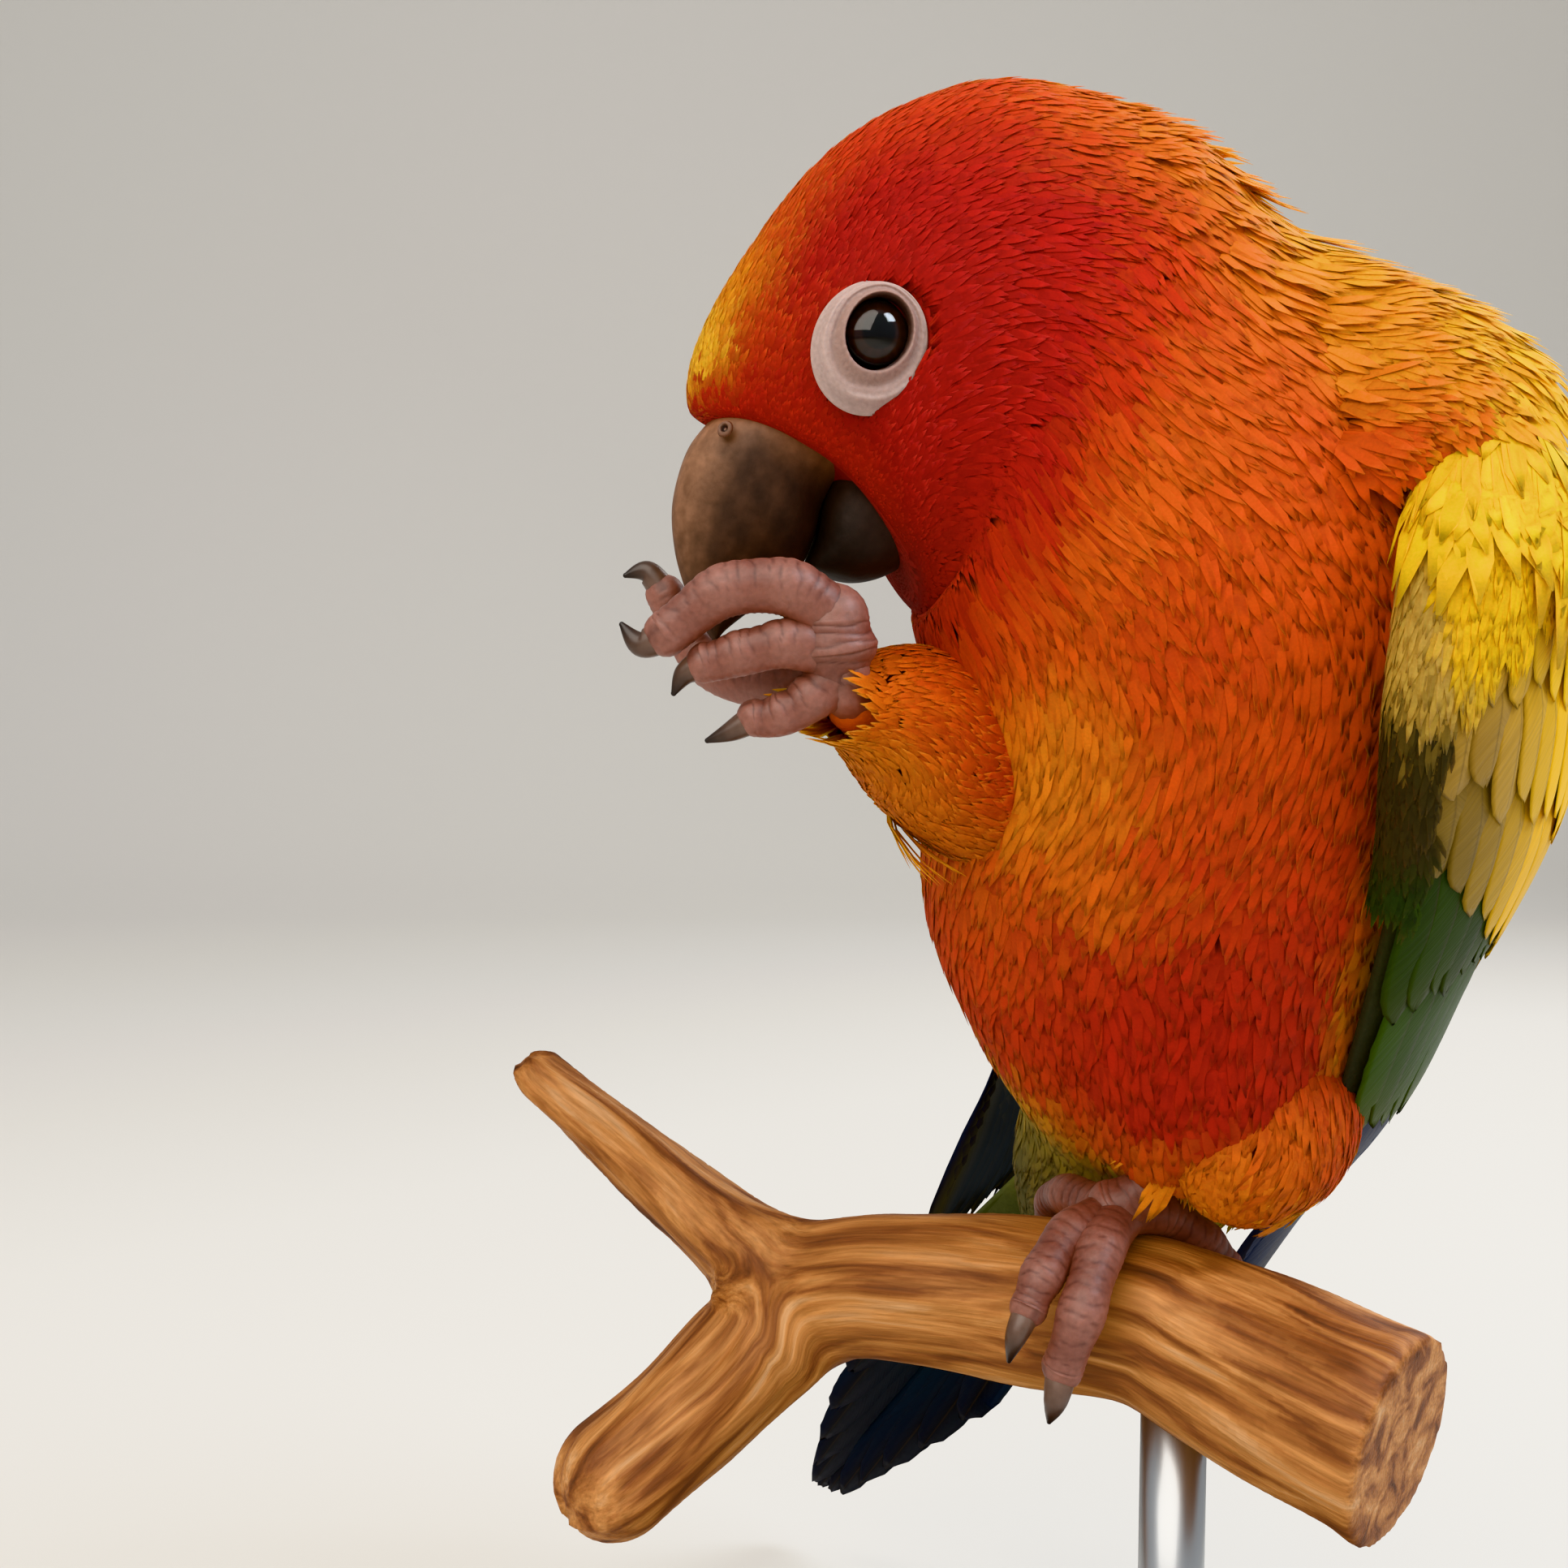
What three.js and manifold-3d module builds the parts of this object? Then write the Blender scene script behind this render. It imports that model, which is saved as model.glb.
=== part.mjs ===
// Sun conure standing on its left foot on a forked branch, its right foot raised to its bill.
// Millimetres. +Z is up, +X is to the right as the bird is seen, and the viewer stands at -Y.
// The underside of the stand's round base has its centre at the origin.
import * as THREE from "three";
import { mergeVertices } from "three/addons/utils/BufferGeometryUtils.js";
import Module from "manifold-3d";

const wasm = await Module();
wasm.setup();

// Sizes shared by several forms
const seam = 0.3; // gap left between two neighbouring body parts
const baseRadius = 55;
const baseThickness = 8;
const baseBevel = 1.2;
const rodRadius = 4;
const rodCentre = [3, -21];
const rodTop = 84;

// Directions of the two halves of the body
// The head: forwards along the bill, up through the crown, and out of its left cheek.
const headForward = [-0.87, -0.153, -0.469];
const headUp = [-0.462, -0.081, 0.883];
const headLeft = [0.173, -0.985, 0];
const headOrigin = [-38.4, -31.5, 204.6];
// The trunk: forwards from tail to shoulders, dorsal out of its back, and out of its left side.
const trunkForward = [0, -0.49, 0.872];
const trunkDorsal = [0.631, 0.676, 0.381];
const trunkLeft = [0.775, -0.549, -0.309];
const trunkOrigin = [3.9, -14.6, 156.4];

// Small vector tools
const add = (a, b) => a.map((value, i) => value + b[i]);
const sub = (a, b) => a.map((value, i) => value - b[i]);
const scale = (a, k) => a.map((value) => value * k);
const dot = (a, b) => a.reduce((sum, value, i) => sum + value * b[i], 0);
const unit = (a) => scale(a, 1 / Math.hypot(...a));
const cross = (a, b) => [a[1] * b[2] - a[2] * b[1], a[2] * b[0] - a[0] * b[2], a[0] * b[1] - a[1] * b[0]];
const mix = (a, b, k) => a.map((value, i) => value + (b[i] - value) * k);
const mixNumber = (a, b, k) => a + (b - a) * k;

const inHead = (forward, up, left = 0) => {
  const inMiddlePlane = add(scale(headForward, forward), scale(headUp, up));
  return add(headOrigin, add(inMiddlePlane, scale(headLeft, left)));
};
const inTrunk = (forward, dorsal, left) => {
  const inMiddlePlane = add(scale(trunkForward, forward), scale(trunkDorsal, dorsal));
  return add(trunkOrigin, add(inMiddlePlane, scale(trunkLeft, left)));
};

// A smooth curve through a list of equal-length number rows, u from 0 to rows - 1.
function smooth(rows, u) {
  const last = rows.length - 1;
  const i = Math.min(Math.floor(u), last - 1);
  const k = u - i;
  const before = rows[Math.max(i - 1, 0)];
  const from = rows[i];
  const to = rows[i + 1];
  const after = rows[Math.min(i + 2, last)];
  return from.map((value, j) => {
    const slopeFrom = (to[j] - before[j]) / 2;
    const slopeTo = (after[j] - value) / 2;
    const rise = to[j] - value;
    const square = 3 * rise - 2 * slopeFrom - slopeTo;
    const cube = slopeFrom + slopeTo - 2 * rise;
    return value + k * (slopeFrom + k * (square + k * cube));
  });
}

// Closed meshes
// Skins a list of equal rings, closes each end with a fan, and turns the faces outward.
function skinRings(rings) {
  const count = rings[0].length;
  const points = rings.flat();
  const faces = [];
  for (let row = 0; row + 1 < rings.length; row += 1) {
    for (let i = 0; i < count; i += 1) {
      const next = (i + 1) % count;
      const a = row * count + i;
      const b = row * count + next;
      faces.push([a, b, b + count], [a, b + count, a + count]);
    }
  }
  const middle = (ring) => scale(ring.reduce(add), 1 / ring.length);
  const firstHub = points.push(middle(rings[0])) - 1;
  const lastHub = points.push(middle(rings.at(-1))) - 1;
  const lastStart = (rings.length - 1) * count;
  for (let i = 0; i < count; i += 1) {
    const next = (i + 1) % count;
    faces.push([firstHub, next, i], [lastHub, lastStart + i, lastStart + next]);
  }
  return closedSolid(points, faces);
}

// A manifold solid from corner points and triangles, whichever way the triangles first faced.
function closedSolid(points, faces) {
  let volume = 0;
  for (const [a, b, c] of faces) {
    volume += dot(points[a], cross(points[b], points[c]));
  }
  const corners = faces.flatMap(([a, b, c]) => (volume > 0 ? [a, b, c] : [a, c, b]));
  const vertProperties = new Float32Array(points.flat());
  const triVerts = new Uint32Array(corners);
  return new wasm.Manifold(new wasm.Mesh({ numProp: 3, vertProperties, triVerts }));
}

const uniteAll = (solids) => solids.reduce((whole, piece) => whole.add(piece));

// Keeps the largest closed surface of a solid, so chips and sealed pockets between feathers go.
function keepLargest(solid) {
  const mesh = solid.getMesh();
  const points = [];
  for (let i = 0; i < mesh.vertProperties.length; i += 3) {
    points.push([...mesh.vertProperties.slice(i, i + 3)]);
  }
  const owner = points.map((_, i) => i);
  const find = (i) => {
    let root = i;
    while (owner[root] !== root) {
      owner[root] = owner[owner[root]];
      root = owner[root];
    }
    return root;
  };
  const faces = [];
  for (let i = 0; i < mesh.triVerts.length; i += 3) {
    const face = [...mesh.triVerts.slice(i, i + 3)];
    faces.push(face);
    owner[find(face[1])] = find(face[0]);
    owner[find(face[2])] = find(face[0]);
  }
  const volumes = new Map();
  for (const [a, b, c] of faces) {
    const key = find(a);
    volumes.set(key, (volumes.get(key) ?? 0) + dot(points[a], cross(points[b], points[c])));
  }
  const [largest] = [...volumes].reduce((best, entry) => (entry[1] > best[1] ? entry : best));
  const kept = faces.filter(([a]) => find(a) === largest);
  const index = new Map();
  kept.flat().forEach((i) => index.has(i) || index.set(i, index.size));
  const keptPoints = [...index.keys()].map((i) => points[i]);
  const keptFaces = kept.map((face) => face.map((i) => index.get(i)));
  return closedSolid(keptPoints, keptFaces);
}

// Rounded tubes: legs, toes, claws and the branch
// The rings of a rounded end: how far past the last section, and how wide, as shares of its radius.
const capRings = [
  [0.5, 0.85],
  [0.85, 0.45],
];

// path rows are [x, y, z, radius]; rings are carried along the smooth curve without twist.
function tube(path, options) {
  const { sides, rings, grow = 0, roundStart = true, firstAcross = [0, 1, 0] } = options;
  const last = path.length - 1;
  const stations = [];
  for (let i = 0; i <= rings; i += 1) {
    stations.push(smooth(path, (last * i) / rings));
  }
  const result = [];
  let across = firstAcross;
  stations.forEach((station, i) => {
    const before = stations[Math.max(i - 1, 0)];
    const after = stations[Math.min(i + 1, rings)];
    const along = unit(sub(after.slice(0, 3), before.slice(0, 3)));
    across = unit(sub(across, scale(along, dot(across, along))));
    const third = cross(along, across);
    const ring = (shift, size) => {
      const centre = add(station.slice(0, 3), scale(along, shift));
      return Array.from({ length: sides }, (_, k) => {
        const angle = (2 * Math.PI * k) / sides;
        const out = add(scale(across, Math.cos(angle)), scale(third, Math.sin(angle)));
        return add(centre, scale(out, size));
      });
    };
    const radius = station[3] + grow;
    if (roundStart && i === 0) {
      capRings.toReversed().forEach(([past, size]) => result.push(ring(-radius * past, radius * size)));
    }
    result.push(ring(0, radius));
    if (i === rings) {
      capRings.forEach(([past, size]) => result.push(ring(radius * past, radius * size)));
    }
  });
  return skinRings(result);
}

// Head, neck and trunk as one smooth body
// Each cross-section runs from an outline point on the nape or back side to one on the throat or
// belly side. side is the third direction; near and far are the half widths along it each way, and
// bend is how far the section's sides lie back, so that the face is hollow round the bill.
const section = (upper, lower, side, near, far, bend = 0) =>
  [...upper, ...lower, ...unit(side), near, far, bend];
const headSection = (upper, lower, half, bend) =>
  section(inHead(...upper), inHead(...lower), headLeft, half, half, bend);
const bodySections = [
  headSection([15.2, 1.2], [4.6, -20.4], 5.4, 3.6),
  headSection([17.2, 4.4], [4.6, -24], 8.6, 3.8),
  headSection([13.5, 9.8], [4.7, -25.6], 12, 3.6),
  headSection([4.8, 15.7], [4.7, -26.4], 15, 2.4),
  headSection([-8.1, 21.5], [4.6, -27], 16.5, 1),
  headSection([-19.9, 22.6], [4.4, -27.6], 17.4, 0),
  headSection([-32.4, 19.3], [4.2, -28.2], 19, 0),
  section([-1.2, -26, 231.7], [-30, -29.5, 177], [0.1, -0.99, 0], 21, 21),
  section([10.9, -24.5, 221.2], [-29, -27.2, 173.6], [0, -0.99, -0.1], 24, 23),
  section([28, -24, 208.9], [-27.4, -25.6, 168.8], [-0.03, -0.96, -0.25], 27, 25),
  section([36, -21.5, 193], [-26.4, -22.2, 162.2], [-0.05, -0.92, -0.38], 29, 27),
  section([34, -16, 164.6], [-27.5, -14.8, 153.4], [-0.05, -0.88, -0.46], 30, 27),
  section([34.5, -8.4, 144.4], [-26.2, -6.7, 140], [-0.05, -0.86, -0.5], 29, 26),
  section([33.7, -0.6, 127], [-19.2, 1.3, 125.5], [-0.05, -0.84, -0.54], 26, 23),
  section([29, 8.4, 111.2], [-11.4, 10.4, 112.5], [-0.05, -0.82, -0.56], 19, 17),
  section([21.4, 17.5, 99], [-10.6, 21.4, 98.4], [-0.05, -0.82, -0.56], 13.5, 12),
  section([11.5, 31, 85.5], [-6.7, 34.5, 84.4], [-0.05, -0.84, -0.54], 6.5, 6),
];
const headEnd = 6;
const neckEnd = 9;
const bodyEnd = bodySections.length - 1;
const bodySides = 26;
const headRings = 12;
const neckRings = 8;
const trunkRings = 20;

function bodyRing(u, shift, grow) {
  const row = smooth(bodySections, u);
  const upper = row.slice(0, 3);
  const lower = row.slice(3, 6);
  const spine = unit(sub(upper, lower));
  const side = unit(sub(row.slice(6, 9), scale(spine, dot(row.slice(6, 9), spine))));
  const half = Math.hypot(...sub(upper, lower)) / 2 + grow;
  const tailward = cross(spine, side);
  const middle = mix(upper, lower, 0.5);
  return Array.from({ length: bodySides }, (_, i) => {
    const angle = (2 * Math.PI * i) / bodySides;
    const reach = Math.sin(angle) > 0 ? row[9] : row[10];
    const centre = add(middle, scale(tailward, shift + row[11] * Math.sin(angle) ** 2));
    const out = add(scale(spine, half * Math.cos(angle)), scale(side, (reach + grow) * Math.sin(angle)));
    return add(centre, out);
  });
}

// The body from section number start to end, its two cut faces moved in by half a seam.
function bodyPart(start, end, ringCount, grow = 0) {
  const rings = [];
  for (let i = 0; i <= ringCount; i += 1) {
    const u = mixNumber(start, end, i / ringCount);
    const isFirstCut = i === 0 && start > 0;
    const isLastCut = i === ringCount && end < bodyEnd;
    const shift = isFirstCut ? seam / 2 - grow : isLastCut ? grow - seam / 2 : 0;
    rings.push(bodyRing(u, shift, grow));
  }
  return skinRings(rings);
}

// Bill
// Sections in the head's own middle plane: top edge, bottom edge, half width. The upper bill's
// cutting edge closes on the lower bill.
const upperBillSections = [
  [7, 3.5, 0, -8, 6.6],
  [12.5, 3, 5, -9.2, 7],
  [16.9, 1.8, 8.8, -11.4, 7.1],
  [20.1, 0, 11.6, -14.4, 6.5],
  [23.7, -3.9, 14.4, -16.6, 5.3],
  [25.8, -8.3, 17.6, -17.8, 4.1],
  [26.8, -12.5, 21.5, -18.2, 2.7],
  [27.2, -16, 25, -18.8, 1.4],
  [26.8, -19.2, 26.4, -19.4, 0.4],
];
const lowerBillSections = [
  [2, -9, 0.8, -20.4, 6],
  [6, -9, 2.6, -21.6, 6.4],
  [9.2, -11.4, 6.6, -21.8, 6],
  [11.2, -14.2, 9.9, -20.8, 4.9],
  [13.2, -16, 12.3, -18.8, 3.2],
  [14, -16.6, 13.4, -17.4, 1.5],
];

function billPart(sections, ringCount, sides, grow) {
  const last = sections.length - 1;
  const rings = [];
  for (let i = 0; i <= ringCount; i += 1) {
    const [topF, topU, lowF, lowU, half] = smooth(sections, (last * i) / ringCount);
    const top = inHead(topF, topU);
    const low = inHead(lowF, lowU);
    const spine = unit(sub(top, low));
    const push = i === 0 ? -grow : i === ringCount ? grow : 0;
    const centre = add(mix(top, low, 0.5), scale(cross(headLeft, spine), push));
    const depth = Math.hypot(...sub(top, low)) / 2 + grow;
    rings.push(
      Array.from({ length: sides }, (_, k) => {
        const angle = (2 * Math.PI * (k + 0.5)) / sides;
        const up = scale(spine, depth * Math.cos(angle));
        return add(centre, add(up, scale(headLeft, (half + grow) * Math.sin(angle))));
      }),
    );
  }
  return skinRings(rings);
}

const upperBillRings = 14;
const upperBillSides = 14;
const lowerBillRings = 8;
const lowerBillSides = 12;
const upperBillSolid = (grow = 0) => billPart(upperBillSections, upperBillRings, upperBillSides, grow);
const lowerBillSolid = (grow = 0) => billPart(lowerBillSections, lowerBillRings, lowerBillSides, grow);
const nostrilPlace = [15.9, -0.4, 5.6];
const nostrilRadius = 0.9;
const nostrilRings = 4;
const nostrilSides = 7;

// Eyes
const eyePlace = [-0.7, 1.1]; // forward and up in the head's middle plane
const eyeOut = 12.4;
const eyeRadius = 4.6;
const lidPlace = [0.2, 0.1];
const lidOut = 15.6;
const lidOuter = [6.6, 5.8]; // half axes of the bare ring's outer edge
const lidInner = [3.8, 3.2]; // half axes of the opening
const lidTilt = -0.66; // turn of the ring's long axis away from the bill's direction, radians
const lidHeight = 1.3;
const lidSteps = 14;
const lidSides = 8;

function ball(centre, radius, rings = 8, sides = 12) {
  const rows = [];
  for (let i = 1; i < rings; i += 1) {
    const tilt = (Math.PI * i) / rings;
    rows.push(
      Array.from({ length: sides }, (_, k) => {
        const angle = (2 * Math.PI * k) / sides;
        const out = [Math.sin(tilt) * Math.cos(angle), Math.sin(tilt) * Math.sin(angle), Math.cos(tilt)];
        return add(centre, scale(out, radius));
      }),
    );
  }
  const top = add(centre, [0, 0, radius]);
  const bottom = add(centre, [0, 0, -radius]);
  return skinBetweenPoles(top, rows, bottom);
}

// Skins the rings between two pole points.
function skinBetweenPoles(top, rows, bottom) {
  const count = rows[0].length;
  const points = [top, ...rows.flat(), bottom];
  const faces = [];
  const lastIndex = points.length - 1;
  for (let i = 0; i < count; i += 1) {
    const next = (i + 1) % count;
    faces.push([0, 1 + next, 1 + i]);
    for (let row = 0; row + 1 < rows.length; row += 1) {
      const a = 1 + row * count + i;
      const b = 1 + row * count + next;
      faces.push([a, b, b + count], [a, b + count, a + count]);
    }
    const start = 1 + (rows.length - 1) * count;
    faces.push([start + i, start + next, lastIndex]);
  }
  return closedSolid(points, faces);
}

// The bare ring of skin round the eye: a low rounded collar between two tilted ellipses.
function eyeRing(side) {
  const edge = (place, axes, turn) => {
    const long = axes[0] * Math.cos(turn);
    const short = axes[1] * Math.sin(turn);
    return [
      place[0] + long * Math.cos(lidTilt) - short * Math.sin(lidTilt),
      place[1] + long * Math.sin(lidTilt) + short * Math.cos(lidTilt),
    ];
  };
  const rings = Array.from({ length: lidSteps }, (_, i) => {
    const turn = (2 * Math.PI * i) / lidSteps;
    const outer = edge(lidPlace, lidOuter, turn);
    const inner = edge(eyePlace, lidInner, turn);
    const middle = mix(outer, inner, 0.5);
    const half = scale(sub(outer, inner), 0.5);
    return Array.from({ length: lidSides }, (_, k) => {
      const angle = (2 * Math.PI * k) / lidSides;
      const spot = add(middle, scale(half, Math.cos(angle)));
      return inHead(spot[0], spot[1], side * (lidOut + lidHeight * Math.sin(angle)));
    });
  });
  return ringLoop(rings);
}

// Rings joined end to end in a closed loop.
function ringLoop(rings) {
  const count = rings[0].length;
  const faces = [];
  rings.forEach((_, row) => {
    const nextRow = (row + 1) % rings.length;
    for (let i = 0; i < count; i += 1) {
      const next = (i + 1) % count;
      const a = row * count + i;
      const b = row * count + next;
      const c = nextRow * count + next;
      const d = nextRow * count + i;
      faces.push([a, b, c], [a, c, d]);
    }
  });
  return closedSolid(rings.flat(), faces);
}

// Wings and tail
// A blade is a list of rows: leading edge point, trailing edge point, outward direction, half
// thickness, and how far it bows outward between its edges.
function bladeFrame(rows, u) {
  const row = smooth(rows, Math.min(Math.max(u, 0), rows.length - 1));
  const lead = row.slice(0, 3);
  const trail = row.slice(3, 6);
  const across = unit(sub(trail, lead));
  return {
    centre: mix(lead, trail, 0.5),
    across,
    half: Math.hypot(...sub(trail, lead)) / 2,
    outward: unit(sub(row.slice(6, 9), scale(across, dot(row.slice(6, 9), across)))),
    thick: row[9],
    bow: row[10],
  };
}

// The blade's solid core from row number start to end: each cross-section is a bowed lens, its
// inner side deeper by the given factor.
function bladeCore(rows, start, end, ringCount, sides, grow = 0, inner = 1) {
  const rings = [];
  const startwards = unit(sub(bladeFrame(rows, start).centre, bladeFrame(rows, start + 1).centre));
  for (let i = 0; i <= ringCount; i += 1) {
    const frame = bladeFrame(rows, mixNumber(start, end, i / ringCount));
    const centre = i === 0 ? add(frame.centre, scale(startwards, grow)) : frame.centre;
    rings.push(
      Array.from({ length: sides }, (_, k) => {
        const angle = (2 * Math.PI * k) / sides;
        const wide = Math.cos(angle);
        const depth = (Math.sin(angle) < 0 ? inner : 1) * frame.thick + grow;
        const lift = depth * Math.sin(angle) + frame.bow * (1 - wide * wide);
        return add(centre, add(scale(frame.across, (frame.half + grow) * wide), scale(frame.outward, lift)));
      }),
    );
  }
  return skinRings(rings);
}

// A point over the blade: u along it, t from -1 at the leading edge to 1 at the trailing edge,
// sideways mm along the surface, and lift mm above its outer face, which is a little flatter than
// the core's.
const faceFlatness = 0.8;
function bladePoint(rows, u, t, sideways, lift) {
  const frame = bladeFrame(rows, u);
  const wide = Math.min(Math.max(t + sideways / frame.half, -1), 1);
  const lens = faceFlatness * frame.thick * Math.sqrt(1 - wide * wide);
  const height = lens + frame.bow * (1 - wide * wide) + lift;
  return add(frame.centre, add(scale(frame.across, frame.half * t + sideways), scale(frame.outward, height)));
}

// One flight feather: a closed vane of six-cornered rings along a line on the blade, its rib raised
// and one edge tipped over its neighbour. Its root and underside are sunk into what lies below.
const longVane = [
  [0, 0.55],
  [0.3, 0.9],
  [0.65, 1],
  [0.9, 0.8],
  [1, 0.25],
];
const shortVane = [
  [0, 0.6],
  [0.45, 0.95],
  [0.82, 0.92],
  [1, 0.3],
];
const vaneEdge = 0.32; // half thickness of a vane at its edges, as a share of that at its rib
const vaneRib = 0.5;
const tipThinning = 0.8;
const raisedEarly = 1.8; // a vane has risen to its full height this many times before its end

function vane(rows, { from, to, width, thick, rootLift, tipLift, tip, sink, outline }) {
  const rings = outline.map(([q, wide]) => {
    const u = mixNumber(from[0], to[0], q);
    const t = mixNumber(from[1], to[1], q);
    const lift = mixNumber(rootLift, tipLift, Math.min(q * raisedEarly, 1));
    const half = (width * wide) / 2;
    const flat = thick * mixNumber(1, tipThinning, q);
    const deep = sink * (1 - q ** 3);
    const at = (x, y, drop) => bladePoint(rows, u, t, x * half, lift + tip * x + y * flat - drop);
    return [
      at(-1, -vaneEdge, deep),
      at(0, -vaneRib, deep),
      at(1, -vaneEdge, deep),
      at(1, vaneEdge, 0),
      at(0, vaneRib, 0),
      at(-1, vaneEdge, 0),
    ];
  });
  return skinRings(rings);
}

// A tier of feathers side by side over the blade, each a little different from the last.
const tipLiftSpread = 0.1;
function tier(rows, spec, random) {
  const vanes = [];
  for (let i = 0; i < spec.count; i += 1) {
    const k = spec.count > 1 ? i / (spec.count - 1) : 0.5;
    const jitter = (random() - 0.5) * spec.ragged;
    vanes.push(
      vane(rows, {
        from: mix(spec.rootLow, spec.rootHigh, k),
        to: add(mix(spec.tipLow, spec.tipHigh, k), [jitter, 0]),
        width: spec.width,
        thick: spec.thick,
        rootLift: spec.rootLift,
        tipLift: spec.lift + (random() - 0.5) * tipLiftSpread,
        tip: spec.tip,
        sink: spec.sink,
        outline: spec.outline,
      }),
    );
  }
  return vanes;
}

// A repeatable sequence of numbers from 0 to 1.
function seeded(seed) {
  const factor = 1664525;
  const step = 1013904223;
  const range = 2 ** 32;
  let state = seed;
  return () => {
    state = (state * factor + step) % range;
    return state / range;
  };
}

// Wing stations along the trunk: forward, then dorsal and outward of the lower and upper edge, half
// thickness, and how far the blade bows outward between them.
const leftWingStations = [
  [53, 0, 24, 7, 25, 2, 1],
  [45, -10.5, 27.5, 14, 28, 4.4, 2],
  [30, -17.5, 30, 20.5, 31, 4.2, 3],
  [8, -13.5, 31, 22.5, 35, 3.2, 3],
  [-15, -11.5, 30.5, 18.5, 33, 2.2, 2.5],
  [-38, -8.5, 28.5, 14.5, 31, 1.6, 2],
  [-60, -4, 22, 10.5, 24.5, 1.3, 1.5],
  [-82, 0.5, 17.5, 8.5, 20, 1, 1],
  [-102, 3.5, 13.5, 7, 15, 0.7, 0.5],
];
const rightWingStations = [
  [50, 4, 17, 10, 19, 2, 1],
  [44, 2, 20, 15, 24, 4.4, 2],
  [30, 1, 23, 21, 27, 4.2, 3],
  [8, -8, 27.5, 24, 32, 3.2, 3],
  [-15, -8, 27.5, 24, 33, 2.2, 2.5],
  [-38, -1, 24, 22, 30, 1.6, 2],
  [-57, 2.5, 22.5, 19, 22, 1.3, 1.5],
  [-78, -0.5, 27, 14, 19, 1, 1],
  [-102, -8.5, 32, 6, 22, 0.7, 0.5],
];
// How far the upper end of the innermost tier runs: station and place across.
const leftPrimaryEnd = [6.5, 0.62];
const rightPrimaryEnd = [7.5, 0.8];
const wingCoreEnd = 5.9;
const wingInnerDepth = 1.7;
const wingCoreRings = 12;
const bladeSides = 12;
// Tiers from the innermost out. Roots and tips are [station, place across] at the lower and upper
// end of the tier; lift is the height of a tip over the core.
const wingTiers = (primaryEnd) => [
  {
    count: 7, width: 9.8, thick: 0.9, sink: 0, ragged: 0.05, outline: longVane,
    rootLow: [3.1, -0.76], rootHigh: [3.4, 0.5], tipLow: [7.95, -0.4], tipHigh: primaryEnd,
    rootLift: -1.4, lift: -0.3, tip: -0.28,
  },
  {
    count: 7, width: 9, thick: 0.8, sink: 0.6, ragged: 0.14, outline: longVane,
    rootLow: [2.9, -0.5], rootHigh: [2.7, 0.78], tipLow: [5.75, -0.48], tipHigh: [5.2, 0.86],
    rootLift: -1.2, lift: 0.5, tip: -0.34,
  },
  {
    count: 7, width: 8.6, thick: 0.8, sink: 0.9, ragged: 0.16, outline: shortVane,
    rootLow: [2.4, -0.72], rootHigh: [2.3, 0.78], tipLow: [4.15, -0.78], tipHigh: [4.3, 0.84],
    rootLift: -1.2, lift: 1.15, tip: -0.34,
  },
  {
    count: 6, width: 8.8, thick: 0.8, sink: 1.1, ragged: 0.16, outline: shortVane,
    rootLow: [1.6, -0.7], rootHigh: [1.6, 0.74], tipLow: [3.2, -0.76], tipHigh: [3.3, 0.8],
    rootLift: -1.2, lift: 1.7, tip: -0.34,
  },
];

function wingRows(stations, side) {
  return stations.map(([f, leadDorsal, leadOut, trailDorsal, trailOut, thick, bow]) => {
    const lead = inTrunk(f, leadDorsal, side * leadOut);
    const trail = inTrunk(f, trailDorsal, side * trailOut);
    return [...lead, ...trail, ...scale(trunkLeft, side), thick, bow];
  });
}

function wing(stations, primaryEnd, side, seed) {
  const rows = wingRows(stations, side);
  const random = seeded(seed);
  const pieces = [bladeCore(rows, 0, wingCoreEnd, wingCoreRings, bladeSides, 0, wingInnerDepth)];
  wingTiers(primaryEnd).forEach((spec) => pieces.push(...tier(rows, spec, random)));
  return uniteAll(pieces);
}

// Tail: root, tip, the direction across it and out of its upper side, and its outline.
const tailRoot = [5.5, 21.2, 105.5];
const tailTip = [-37.8, 82.7, 14.2];
const tailAcross = unit([0.911, 0.04, -0.41]);
const tailUp = [-0.05, 0.76, 0.64];
const tailHalfWidths = [6, 8.5, 11, 12.5, 13.2, 12.8, 12];
const tailThickness = [3.2, 2.6, 1.8, 1.2, 0.9, 0.8, 0.7];
const tailCoreEnd = 2.6;
const tailCoreRings = 6;
const rectrixPairs = 6;
const rectrixWidth = 8;
const rectrixSpread = 0.15; // of the tail's half width, from one feather to the next at the tips
const rectrixCrowding = 0.7; // their places at the root, as a share of those at the tips
const rectrixRoot = 0.9;
const rectrixThickness = 0.8;
const rectrixSink = 1.4; // mm that a root lies inside the core
const rectrixDrop = 0.35; // mm from one pair down to the next
const rectrixTilt = 0.12;
const gradation = 0.011; // how fast the feathers shorten outwards

function tailRows() {
  return tailHalfWidths.map((half, i) => {
    const centre = mix(tailRoot, tailTip, i / (tailHalfWidths.length - 1));
    const reach = scale(tailAcross, half);
    return [...sub(centre, reach), ...add(centre, reach), ...tailUp, tailThickness[i], 1];
  });
}

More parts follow.
